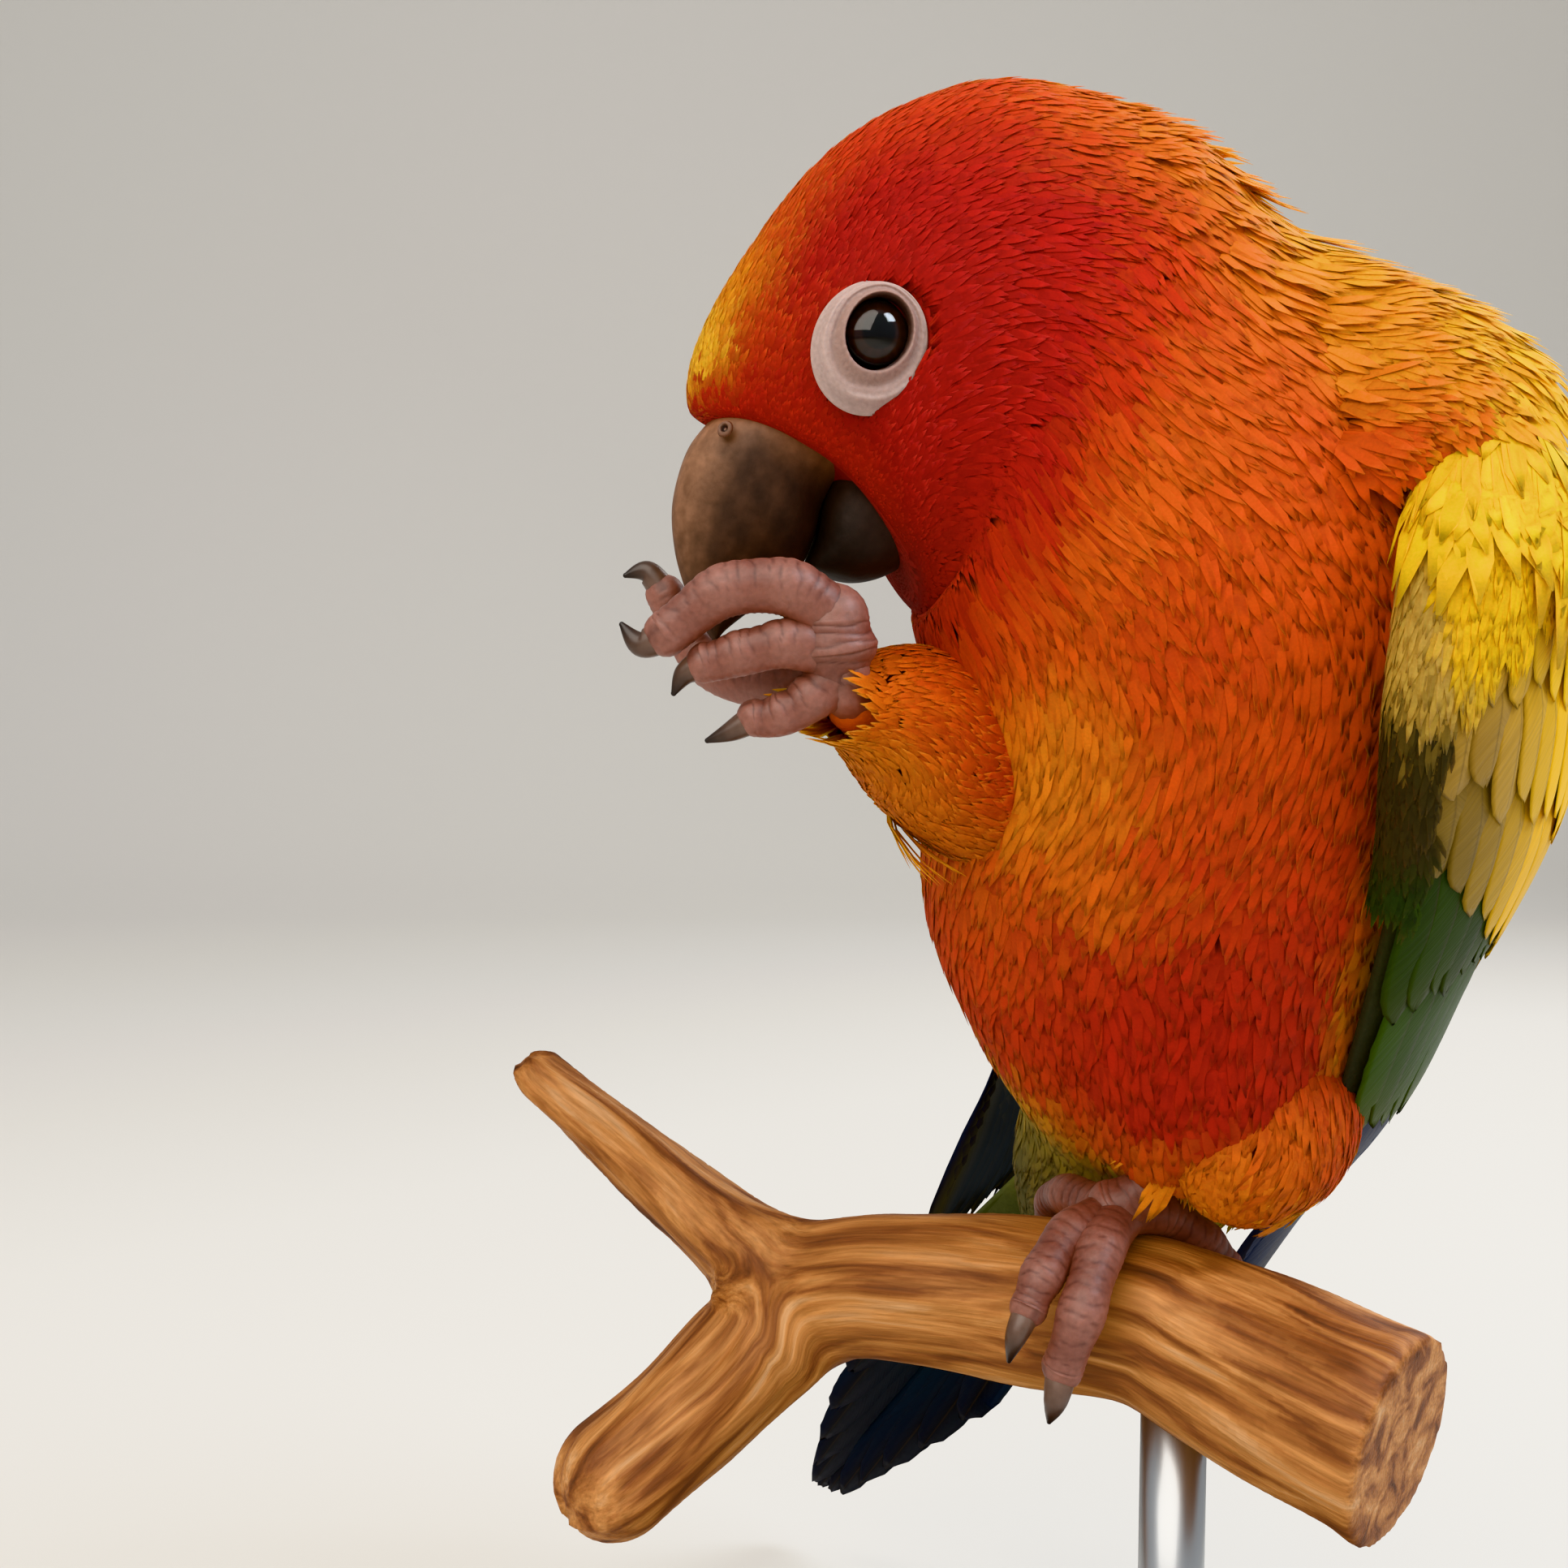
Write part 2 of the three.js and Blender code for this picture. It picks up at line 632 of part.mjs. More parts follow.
// Graduated tail feathers: the middle pair is longest and lies on top.
function tail() {
  const rows = tailRows();
  const last = rows.length - 1;
  const pieces = [bladeCore(rows, 0, tailCoreEnd, tailCoreRings, bladeSides)];
  for (let pair = 0; pair < rectrixPairs; pair += 1) {
    for (const side of [-1, 1]) {
      const place = side * (pair + 0.5) * rectrixSpread;
      pieces.push(
        vane(rows, {
          from: [rectrixRoot, place * rectrixCrowding],
          to: [last * (1 - gradation * pair * (pair + 1)), place],
          width: rectrixWidth,
          thick: rectrixThickness,
          rootLift: -rectrixSink,
          tipLift: -rectrixDrop * pair,
          tip: -side * rectrixTilt,
          sink: 0,
          outline: longVane,
        }),
      );
    }
  }
  return uniteAll(pieces);
}

// Legs and feet
const leftThighPath = [
  [18, 6, 128, 9],
  [13, -15, 119.4, 13.6],
  [8, -21.2, 114.4, 11.4],
  [3, -20.5, 111.5, 5.2],
];
const leftShankPath = [
  [5, -20, 114, 2.6],
  [0, -20.5, 109.5, 2.4],
  [-4, -19.5, 106, 3.6],
];
const leftToes = [
  [[-4, -19.5, 105, 3.1], [-7.5, -26.5, 103, 2.8], [-10.6, -31.5, 97.5, 2.7], [-12.7, -31.4, 91, 2.3]],
  [[-5, -19.5, 105, 3], [-10.5, -23.5, 104, 2.7], [-14.6, -28, 100.6, 2.5], [-16.4, -29.6, 97.4, 2.1]],
  [[-3.5, -18.5, 105, 3], [2.5, -15.5, 103.8, 2.7], [8, -14.6, 100, 2.5], [11, -14, 96.5, 2.1]],
  [[-5, -17.5, 105, 3], [-8, -9, 104, 2.6], [-9, -3, 101, 2.4], [-9, 0.6, 96.4, 2]],
];
const leftClaws = [
  [[-12.7, -31.4, 91, 1.9], [-13.6, -32.4, 87.6, 1.4], [-14, -30.6, 84.2, 0.4]],
  [[-16.4, -29.6, 97.4, 1.7], [-18, -30.8, 94.6, 1.3], [-18.6, -29.4, 91, 0.4]],
  [[11, -14, 96.5, 1.7], [13, -12.8, 93.6, 1.3], [13.4, -12.4, 90, 0.4]],
  [[-9, 0.6, 96.4, 1.7], [-9.2, 2.4, 92.6, 1.3], [-9.2, 1.6, 89, 0.4]],
];
const rightThighPath = [
  [-8, -14, 152, 9],
  [-22, -25, 160, 10.5],
  [-31, -33, 166, 9],
  [-37.5, -40, 168, 4.6],
];
const rightShankPath = [
  [-35, -38, 167, 2.6],
  [-38.6, -42, 169.6, 2.5],
  [-39.6, -42.6, 174, 4.4],
  [-39.8, -43, 177.4, 3.6],
];
const rightToes = [
  [[-39.4, -43.2, 177, 3.2], [-44.6, -44.6, 180.4, 2.9], [-51.4, -44.4, 180, 2.7], [-57.4, -43.8, 175.6, 2.3]],
  [[-39.4, -42, 174, 3], [-45.6, -36.6, 170.4, 2.6], [-53.6, -29.6, 172.6, 2.5], [-58.6, -28.4, 180.6, 2.1]],
  [[-39.4, -43.4, 174, 3], [-45, -44.4, 174.6, 2.5], [-49.6, -44.2, 173.6, 2.3], [-53.4, -43.8, 172.6, 2]],
  [[-39, -42.6, 171.6, 3], [-42.4, -43.2, 168.8, 2.4], [-45.4, -43.2, 167.2, 2.2], [-48.1, -43, 166.8, 1.9]],
];
const rightClaws = [
  [[-57.4, -43.8, 175.6, 1.9], [-60, -43.6, 174.6, 1.4], [-62, -43.4, 176.6, 0.4]],
  [[-58.6, -28.4, 180.6, 1.7], [-60.6, -28.6, 183, 1.3], [-63, -29, 182.6, 0.4]],
  [[-53.4, -43.8, 172.6, 1.7], [-55.4, -43.6, 171.4, 1.2], [-56.6, -43.4, 169.4, 0.4]],
  [[-48.1, -43, 166.8, 1.6], [-50.6, -42.8, 165.4, 1.1], [-53.1, -42.6, 164.4, 0.4]],
];
const shankForm = { sides: 10, rings: 5 };
const toeForm = { sides: 7, rings: 5 };
const clawForm = { sides: 6, rings: 3 };
const thighForm = { sides: 14, rings: 8 };

function foot(shank, toes, claws, grow = 0) {
  const pieces = [tube(shank, { ...shankForm, grow })];
  toes.forEach((toe) => pieces.push(tube(toe, { ...toeForm, grow })));
  claws.forEach((claw) => pieces.push(tube(claw, { ...clawForm, grow })));
  return uniteAll(pieces);
}

// Branch
const branchMain = [
  [23.6, -40.5, 86.4, 12.5],
  [7.3, -24.3, 89.6, 11.4],
  [-1.2, -18.1, 91.4, 10.7],
  [-15, -9.2, 90.3, 10.4],
  [-30.3, -1.2, 88.9, 10],
  [-43.4, 5.6, 87, 8.8],
  [-58.6, 13.2, 95.6, 5.8],
  [-74.3, 18, 107.3, 4.7],
  [-81, 21, 112, 4],
];
const branchLower = [
  [-26, -3, 89, 7.5],
  [-40, 3.6, 84.6, 9],
  [-49, 2.1, 78.9, 8.8],
  [-57.7, -3.4, 72.3, 8.6],
  [-67, -9.2, 66.4, 8.2],
];
const branchGap = 0.35; // between the bark and the toes that hold it
const branchMainForm = { sides: 13, rings: 14, roundStart: false, firstAcross: [0, 0, 1] };
const branchLowerForm = { sides: 12, rings: 8, firstAcross: [0, 0, 1] };
const branchSolid = (grow) =>
  uniteAll([tube(branchMain, { ...branchMainForm, grow }), tube(branchLower, { ...branchLowerForm, grow })]);

// Stand
function disc(centre, low, high, radius, bevel, sides) {
  const ring = (z, r) =>
    Array.from({ length: sides }, (_, i) => {
      const angle = (2 * Math.PI * i) / sides;
      return [centre[0] + r * Math.cos(angle), centre[1] + r * Math.sin(angle), z];
    });
  const rings = [ring(low, radius), ring(high - bevel, radius)];
  if (bevel > 0) {
    rings.push(ring(high, radius - bevel));
  }
  return skinRings(rings);
}
const rodSides = 20;
const rodSink = 3; // how deep the rod stands in the base
const rodFoot = baseThickness - rodSink;
const rodSolid = (grow) => disc(rodCentre, rodFoot - grow, rodTop + grow, rodRadius + grow, 0, rodSides);
const baseSides = 44;

// The nodes, each cut clear of its neighbours
const nostril = (side) => {
  const [forward, up, out] = nostrilPlace;
  return ball(inHead(forward, up, side * out), nostrilRadius, nostrilRings, nostrilSides);
};
const upperBill = upperBillSolid().subtract(nostril(1)).subtract(nostril(-1));
const lowerBill = lowerBillSolid().subtract(upperBillSolid(seam));
const eyeBall = (side, grow) => ball(inHead(...eyePlace, side * eyeOut), eyeRadius + grow);

const headSolid = bodyPart(0, headEnd, headRings)
  .add(eyeRing(1))
  .add(eyeRing(-1))
  .subtract(eyeBall(1, seam))
  .subtract(eyeBall(-1, seam))
  .subtract(upperBillSolid(seam))
  .subtract(lowerBillSolid(seam));
const neckSolid = bodyPart(headEnd, neckEnd, neckRings);
const bodyGrown = uniteAll([
  bodyPart(0, headEnd, headRings, seam),
  bodyPart(headEnd, neckEnd, neckRings, seam),
  bodyPart(neckEnd, bodyEnd, trunkRings, seam),
]);
const leftFoot = foot(leftShankPath, leftToes, leftClaws).subtract(branchSolid(branchGap));
const rightFoot = foot(rightShankPath, rightToes, rightClaws);
const leftFootGrown = foot(leftShankPath, leftToes, leftClaws, seam);
const rightFootGrown = foot(rightShankPath, rightToes, rightClaws, seam);
const tailSolid = tail();
const socketGap = 1;
const socketRings = 4;
const tailSocket = bladeCore(tailRows(), 0, tailCoreEnd + 1, socketRings, bladeSides, socketGap);
const trunkSolid = bodyPart(neckEnd, bodyEnd, trunkRings).subtract(tailSocket).subtract(leftFootGrown);
const thigh = (path, grow = 0) => tube(path, { ...thighForm, grow });
const leftThigh = thigh(leftThighPath).subtract(bodyGrown).subtract(leftFootGrown);
const rightThigh = thigh(rightThighPath).subtract(bodyGrown).subtract(rightFootGrown);
const leftWing = wing(leftWingStations, leftPrimaryEnd, 1, 11)
  .subtract(bodyGrown)
  .subtract(thigh(leftThighPath, seam));
const rightWing = wing(rightWingStations, rightPrimaryEnd, -1, 23)
  .subtract(bodyGrown)
  .subtract(thigh(rightThighPath, seam));
const baseSolid = disc([0, 0], 0, baseThickness, baseRadius, baseBevel, baseSides);

// Name, solid, colour and roughness of every node.
const nodes = [
  ["head", headSolid, 0xc03a14, 0.8],
  ["neck", neckSolid, 0xd85a18, 0.8],
  ["torso", trunkSolid, 0xd84a14, 0.8],
  ["bill_upper", upperBill, 0x4a352c, 0.45],
  ["bill_lower", lowerBill, 0x2a1f1c, 0.45],
  ["eye_left", eyeBall(1, 0), 0x0c0908, 0.1],
  ["eye_right", eyeBall(-1, 0), 0x0c0908, 0.1],
  ["wing_left", leftWing, 0xd8a41c, 0.7],
  ["wing_right", rightWing, 0xd8a41c, 0.7],
  ["tail", tailSolid, 0x23262e, 0.6],
  ["leg_left", leftThigh, 0xd2571a, 0.8],
  ["leg_right", rightThigh, 0xd2571a, 0.8],
  ["foot_left", leftFoot, 0x6e4038, 0.6],
  ["foot_right", rightFoot, 0x6e4038, 0.6],
  ["perch", branchSolid(0).subtract(rodSolid(seam)), 0xa06c42, 0.75],
  ["stand_rod", rodSolid(0), 0x8a8d90, 0.35],
  ["stand_base", baseSolid.subtract(rodSolid(seam)), 0x2c2c2e, 0.5],
];

const group = new THREE.Group();
const mergeDistance = 1e-4;
for (const [name, solid, color, roughness] of nodes) {
  const mesh = keepLargest(solid).getMesh();
  const geometry = new THREE.BufferGeometry();
  geometry.setAttribute("position", new THREE.BufferAttribute(Float32Array.from(mesh.vertProperties), 3));
  geometry.setIndex(new THREE.BufferAttribute(Uint32Array.from(mesh.triVerts), 1));
  const clean = mergeVertices(geometry, mergeDistance);
  clean.computeVertexNormals();
  const node = new THREE.Mesh(clean, new THREE.MeshStandardMaterial({ color, roughness, metalness: 0 }));
  node.name = name;
  group.add(node);
}
export default group;
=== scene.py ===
import bpy
import numpy as np
from mathutils import Matrix


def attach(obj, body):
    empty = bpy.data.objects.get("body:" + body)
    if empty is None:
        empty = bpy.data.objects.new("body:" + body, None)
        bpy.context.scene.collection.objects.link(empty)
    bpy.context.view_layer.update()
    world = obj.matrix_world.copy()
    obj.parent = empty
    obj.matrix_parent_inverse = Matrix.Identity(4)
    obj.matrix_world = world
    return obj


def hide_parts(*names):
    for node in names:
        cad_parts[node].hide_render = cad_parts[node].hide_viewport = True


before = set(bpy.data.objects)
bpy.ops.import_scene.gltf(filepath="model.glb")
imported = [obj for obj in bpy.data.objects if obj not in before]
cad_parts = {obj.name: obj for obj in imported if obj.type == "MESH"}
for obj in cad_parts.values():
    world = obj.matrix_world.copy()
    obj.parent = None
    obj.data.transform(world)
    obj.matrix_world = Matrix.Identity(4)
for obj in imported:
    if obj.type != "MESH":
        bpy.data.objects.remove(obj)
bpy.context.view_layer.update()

# A life-size sun conure on its left foot on a forked branch, its right foot raised to its bill.
# Shapes are worked out in millimetres, +Z up, the viewer at -Y, and scaled to metres in the mesh.
MM = 0.001
TURN = 2 * np.pi
STEP = 1e-3  # of a section or a radian: over this step a surface's slopes are measured
CAP_RINGS = 5  # rings of the half ball at each end of a tube


# Curves and vectors
def unit(v):
    """Each vector divided by its own length."""
    v = np.asarray(v, float)
    return v / np.linalg.norm(v, axis=-1, keepdims=True)


def dot(a, b):
    """Sum of products along the last axis, kept as an axis."""
    return (a * b).sum(-1, keepdims=True)


def mix(a, b, k):
    """Straight blend from a to b as k goes from 0 to 1."""
    return a + (b - a) * k


def ease(low, high, x):
    """S-curve from 0 at low to 1 at high: 3 k squared minus 2 k cubed."""
    k = np.clip((x - low) / (high - low), 0, 1)
    return k * k * (3 - 2 * k)


def smooth(rows, u):
    """Curve through rows at u = 0, 1, 2 ...: on each stretch a cubic whose end slopes are half the
    step between the neighbours on either side."""
    rows = np.asarray(rows, float)
    last = len(rows) - 1
    u = np.clip(u, 0, last)
    i = np.minimum(np.floor(u).astype(int), last - 1)
    k = (u - i)[..., None]
    start, end = rows[i], rows[i + 1]
    slope_in = (end - rows[np.maximum(i - 1, 0)]) / 2
    slope_out = (rows[np.minimum(i + 2, last)] - start) / 2
    rise = end - start
    cubed = slope_in + slope_out - 2 * rise
    return start + k * (slope_in + k * (3 * rise - 2 * slope_in - slope_out + k * cubed))


def linear(code):
    """sRGB hex colour to linear light: (c + 0.055) / 1.055 to the power 2.4 above the dark toe."""
    c = np.array([int(code[i : i + 2], 16) for i in (1, 3, 5)]) / 255
    return np.where(c <= 0.04045, c / 12.92, ((c + 0.055) / 1.055) ** 2.4)


def ramp(stops, x):
    """Colour at x between (place, hex) stops, blended straight in linear light."""
    places = [place for place, _ in stops]
    colours = np.array([linear(code) for _, code in stops])
    return np.stack([np.interp(x, places, colours[:, channel]) for channel in range(3)], -1)


# Meshes
def build_mesh(name, points, faces, material, colour=None, uv=None, crisp=None):
    """One mesh object from points in mm (n, 3) and a list of face arrays (m, corners). colour and
    each uv layer hold one row a point. crisp(a, b) tells from its two point numbers whether an edge
    keeps the shading of its sides apart."""
    points = np.asarray(points, float).reshape(-1, 3)
    mesh = bpy.data.meshes.new(name)
    loops = np.concatenate([np.asarray(block).ravel() for block in faces])
    totals = np.concatenate([np.full(len(block), block.shape[1]) for block in faces])
    mesh.vertices.add(len(points))
    mesh.vertices.foreach_set("co", (points * MM).ravel())
    mesh.loops.add(len(loops))
    mesh.loops.foreach_set("vertex_index", loops)
    mesh.polygons.add(len(totals))
    mesh.polygons.foreach_set("loop_start", np.concatenate([[0], np.cumsum(totals)[:-1]]))
    mesh.polygons.foreach_set("loop_total", totals)
    mesh.polygons.foreach_set("use_smooth", np.ones(len(totals), bool))
    mesh.update(calc_edges=True)
    if crisp:
        ends = np.zeros(len(mesh.edges) * 2, int)
        mesh.edges.foreach_get("vertices", ends)
        sharp = mesh.attributes.new("sharp_edge", "BOOLEAN", "EDGE")
        sharp.data.foreach_set("value", crisp(ends[0::2], ends[1::2]))
    if colour is not None:
        paint = np.ones((len(points), 4))
        paint[:, :3] = np.asarray(colour).reshape(-1, 3)
        mesh.color_attributes.new("Marking", "FLOAT_COLOR", "POINT").data.foreach_set("color", paint.ravel())
    for layer_name, values in (uv or {}).items():
        layer = mesh.uv_layers.new(name=layer_name)
        layer.data.foreach_set("uv", np.asarray(values, float).reshape(-1, 2)[loops].ravel())
    mesh.materials.append(material)
    piece = bpy.data.objects.new(name, mesh)
    bpy.context.scene.collection.objects.link(piece)
    return piece


def ring_faces(rows, count, start=0):
    """Quads between neighbouring closed rings of equal count."""
    row, k = np.meshgrid(np.arange(rows - 1), np.arange(count), indexing="ij")
    after = (k + 1) % count
    a = start + row * count
    return np.stack([a + k, a + after, a + count + after, a + count + k], -1).reshape(-1, 4)


def closed_tube(points):
    """Points (rows, count, 3) closed at both ends by a fan round a middle point: points and faces,
    turned outwards by the sign of the enclosed volume."""
    rows, count = points.shape[:2]
    flat = np.concatenate([points.reshape(-1, 3), points[[0, -1]].mean(1)])
    k = np.arange(count)
    after = (k + 1) % count
    first_hub, last_hub = rows * count, rows * count + 1
    last_row = (rows - 1) * count
    quads = ring_faces(rows, count)
    fans = np.concatenate([
        np.stack([np.full(count, first_hub), after, k], -1),
        np.stack([np.full(count, last_hub), last_row + k, last_row + after], -1),
    ])
    a, b, c, d = (flat[quads[:, i]] for i in range(4))
    volume = (np.cross(b - a, c - a) * a).sum() + (np.cross(c - a, d - a) * a).sum()
    if volume < 0:
        quads, fans = quads[:, ::-1], fans[:, ::-1]
    return flat, [quads, fans]


def capped(colour):
    """Point colours of a closed tube: those of its rings, then the mean of each end ring."""
    return np.concatenate([colour.reshape(-1, 3), colour[[0, -1]].mean(1)])


def tube_piece(name, rings, material, colour=None):
    """A closed tube as a mesh object, from its rings and their colours."""
    flat, faces = closed_tube(rings)
    return build_mesh(name, flat, faces, material, None if colour is None else capped(colour))


def join_parts(parts):
    """Several (points, faces, colour) sets as one, their face numbers moved along."""
    points, quads, fans, colours, start = [], [], [], [], 0
    for part_points, part_faces, part_colour in parts:
        points.append(part_points)
        quads.append(part_faces[0] + start)
        fans.append(part_faces[1] + start)
        colours.append(part_colour)
        start += len(part_points)
    return np.concatenate(points), [np.concatenate(quads), np.concatenate(fans)], np.concatenate(colours)


# The body's directions: the head's forwards, up and left, and the trunk's forwards, dorsal and left
HEAD_FORWARD = np.array([-0.87, -0.153, -0.469])
HEAD_UP = np.array([-0.462, -0.081, 0.883])
HEAD_LEFT = np.array([0.173, -0.985, 0.0])
HEAD_ORIGIN = np.array([-38.4, -31.5, 204.6])
TRUNK_FORWARD = np.array([0, -0.49, 0.872])
TRUNK_DORSAL = np.array([0.631, 0.676, 0.381])
TRUNK_LEFT = np.array([0.775, -0.549, -0.309])
TRUNK_ORIGIN = np.array([3.9, -14.6, 156.4])


def in_head(forward, up, left=0.0):
    """A point of the head from its distances forwards, up and to the left of the eye's middle."""
    parts = [np.asarray(value, float)[..., None] for value in (forward, up, left)]
    return HEAD_ORIGIN + parts[0] * HEAD_FORWARD + parts[1] * HEAD_UP + parts[2] * HEAD_LEFT


def in_trunk(forward, dorsal, left):
    """A point of the trunk from its distances forwards, towards the back and to the left."""
    return TRUNK_ORIGIN + forward * TRUNK_FORWARD + dorsal * TRUNK_DORSAL + left * TRUNK_LEFT


def section(upper, lower, side, near, far, bend=0):
    """One body section: outline point on the nape or back, one on the throat or belly, the
    direction to the viewer's side, the half widths on the near and far side, and how far the sides
    lie back."""
    return [*upper, *lower, *unit(side), near, far, bend]


def head_section(upper, lower, half, bend):
    """A section given in the head's middle plane."""
    return section(in_head(*upper), in_head(*lower), HEAD_LEFT, half, half, bend)


BODY = np.array([
    head_section([15.2, 1.2], [4.6, -20.4], 5.4, 3.6),
    head_section([17.2, 4.4], [4.6, -24], 8.6, 3.8),
    head_section([13.5, 9.8], [4.7, -25.6], 12, 3.6),
    head_section([4.8, 15.7], [4.7, -26.4], 15, 2.4),
    head_section([-8.1, 21.5], [4.6, -27], 16.5, 1),
    head_section([-19.9, 22.6], [4.4, -27.6], 17.4, 0),
    head_section([-32.4, 19.3], [4.2, -28.2], 19, 0),
    section([-1.2, -26, 231.7], [-30, -29.5, 177], [0.1, -0.99, 0], 21, 21),
    section([10.9, -24.5, 221.2], [-29, -27.2, 173.6], [0, -0.99, -0.1], 24, 23),
    section([28, -24, 208.9], [-27.4, -25.6, 168.8], [-0.03, -0.96, -0.25], 27, 25),
    section([36, -21.5, 193], [-26.4, -22.2, 162.2], [-0.05, -0.92, -0.38], 29, 27),
    section([34, -16, 164.6], [-27.5, -14.8, 153.4], [-0.05, -0.88, -0.46], 30, 27),
    section([34.5, -8.4, 144.4], [-26.2, -6.7, 140], [-0.05, -0.86, -0.5], 29, 26),
    section([33.7, -0.6, 127], [-19.2, 1.3, 125.5], [-0.05, -0.84, -0.54], 26, 23),
    section([29, 8.4, 111.2], [-11.4, 10.4, 112.5], [-0.05, -0.82, -0.56], 19, 17),
    section([21.4, 17.5, 99], [-10.6, 21.4, 98.4], [-0.05, -0.82, -0.56], 13.5, 12),
    section([11.5, 31, 85.5], [-6.7, 34.5, 84.4], [-0.05, -0.84, -0.54], 6.5, 6),
])
BODY_END = len(BODY) - 1


def body_surface(u, angle, lift):
    """The body at section number u and angle (0 on the back, a quarter turn to the viewer's side,
    half a turn on the belly): half an ellipse on each side, lift mm outside the outline. Past the
    last section it runs straight on."""
    over = np.maximum(u - BODY_END, 0)[..., None]
    row = smooth(BODY, u)
    upper, lower, side = row[..., 0:3], row[..., 3:6], row[..., 6:9]
    spine = unit(upper - lower)
    side = unit(side - spine * dot(side, spine))
    half = np.linalg.norm(upper - lower, axis=-1) / 2 + lift
    reach = np.where(np.sin(angle) > 0, row[..., 9], row[..., 10]) + lift
    bend = np.cross(spine, side) * (row[..., 11] * np.sin(angle) ** 2)[..., None]
    point = (upper + lower) / 2 + bend + spine * (half * np.cos(angle))[..., None]
    point = point + side * (reach * np.sin(angle))[..., None]
    tailward = (BODY[-1, 0:6] - BODY[-2, 0:6]).reshape(2, 3).mean(0)
    return point + over * tailward


def tube_surface(path, toward):
    """A surface round a path of [x, y, z, radius] rows. Angle 0 faces the direction toward."""
    path = np.asarray(path, float)
    last = len(path) - 1
    end_step = np.linalg.norm(path[-1, :3] - path[-2, :3])

    def surface(u, angle, lift):
        """Centre on the smooth curve plus radius and lift times a turning unit vector across it. Past
        either end it runs straight on."""
        inside = np.clip(u, 0, last)
        ahead = smooth(path, np.minimum(inside + STEP, last))
        behind = smooth(path, np.maximum(inside - STEP, 0))
        along = unit(ahead[..., :3] - behind[..., :3])
        across = unit(toward - along * dot(along, np.asarray(toward, float)))
        third = np.cross(along, across)
        out = across * np.cos(angle)[..., None] + third * np.sin(angle)[..., None]
        here = smooth(path, inside)
        straight_on = along * (end_step * (u - inside))[..., None]
        return here[..., :3] + out * (here[..., 3] + lift)[..., None] + straight_on

    return surface


def half_ball(ring, inner_ring, radius):
    """Rings that round off a tube's end, from the last one outwards. Each lies k radii further out
    and is drawn in by 1 minus the root of 1 - k squared, k being the sine of even angles."""
    middle = ring.mean(0)
    way = unit(middle - inner_ring.mean(0))
    cap = np.sin(np.linspace(0.12, 0.88, CAP_RINGS) * np.pi / 2)
    return np.array([mix(ring, middle, 1 - np.sqrt(1 - k * k)) + way * radius * k for k in cap])


def round_tube(path, toward, rows, count, lift=0.0, shape=None):
    """Rings round a path, with half a ball added at each end. shape(u, angle) adds mm to the radius."""
    path = np.asarray(path, float)
    surface = tube_surface(path, toward)
    u = np.linspace(0, len(path) - 1, rows)
    angle = np.arange(count) * TURN / count
    uu, aa = np.meshgrid(u, angle, indexing="ij")
    more = shape(uu, aa) if shape else 0
    rings = surface(uu, aa, lift + more)
    head = half_ball(rings[0], rings[1], path[0, 3] + lift)[::-1]
    foot = half_ball(rings[-1], rings[-2], path[-1, 3] + lift)
    return np.concatenate([head, rings, foot])


# Markings: three ramps run tailwards, over the back, the side and the belly
BACK_RAMP = [
    (0, "#b4220f"), (0.6, "#c8360f"), (1.0, "#e6861e"), (1.7, "#f0aa30"), (2.5, "#ea881e"),
    (3.2, "#d8501a"), (4.0, "#cc3618"), (5.4, "#cc3a18"), (6.2, "#dc5c1c"), (7.2, "#e8882a"),
    (8.2, "#f0aa2c"), (9.0, "#f6c22a"), (15, "#f2c21c"), (16.5, "#8f8a24"),
]
SIDE_RAMP = [
    (0, "#a3160f"), (1.2, "#b02010"), (2.2, "#a01710"), (4.5, "#a31812"), (6.2, "#ac1a12"),
    (7.0, "#c0300f"), (7.8, "#d2541a"), (8.7, "#cf4a18"), (9.8, "#c84618"), (11, "#b42c16"),
    (12, "#a62414"), (12.8, "#bc4c18"), (13.6, "#a8802e"), (15, "#6e6238"), (16.5, "#55502f"),
]
BELLY_RAMP = [
    (0, "#7a1a12"), (2, "#8f1c12"), (5, "#a02012"), (7, "#b82e12"), (8.4, "#cc4c18"),
    (9.6, "#d26a20"), (10.6, "#c4501a"), (11.6, "#b8341a"), (12.4, "#b63818"), (12.9, "#c07a22"),
    (13.4, "#9c8034"), (14.4, "#635a38"), (16.5, "#4a472f"),
]
# Patches: section, angle in degrees, radius in mm, colour and strength
PATCHES = [
    (1.7, 8, 5, "#f2b236", 0.8),
    (0.45, 24, 4.2, "#b01c10", 0.95),
    (2.2, 44, 5, "#c23412", 0.6),
    (2.9, 70, 6, "#b42812", 0.5),
    (5.0, 92, 10, "#a01812", 0.6),
    (9.6, 139, 10, "#dc7c26", 0.6),
    (10.6, 120, 7, "#d8701e", 0.4),
    (8.6, 52, 7, "#e8902a", 0.6),
    (9.0, 112, 8, "#bc3014", 0.5),
    (11.6, 98, 13, "#9c1c14", 0.6),
    (11.4, 150, 9, "#cc4418", 0.5),
    (12.7, 75, 8, "#c4661c", 0.7),
]


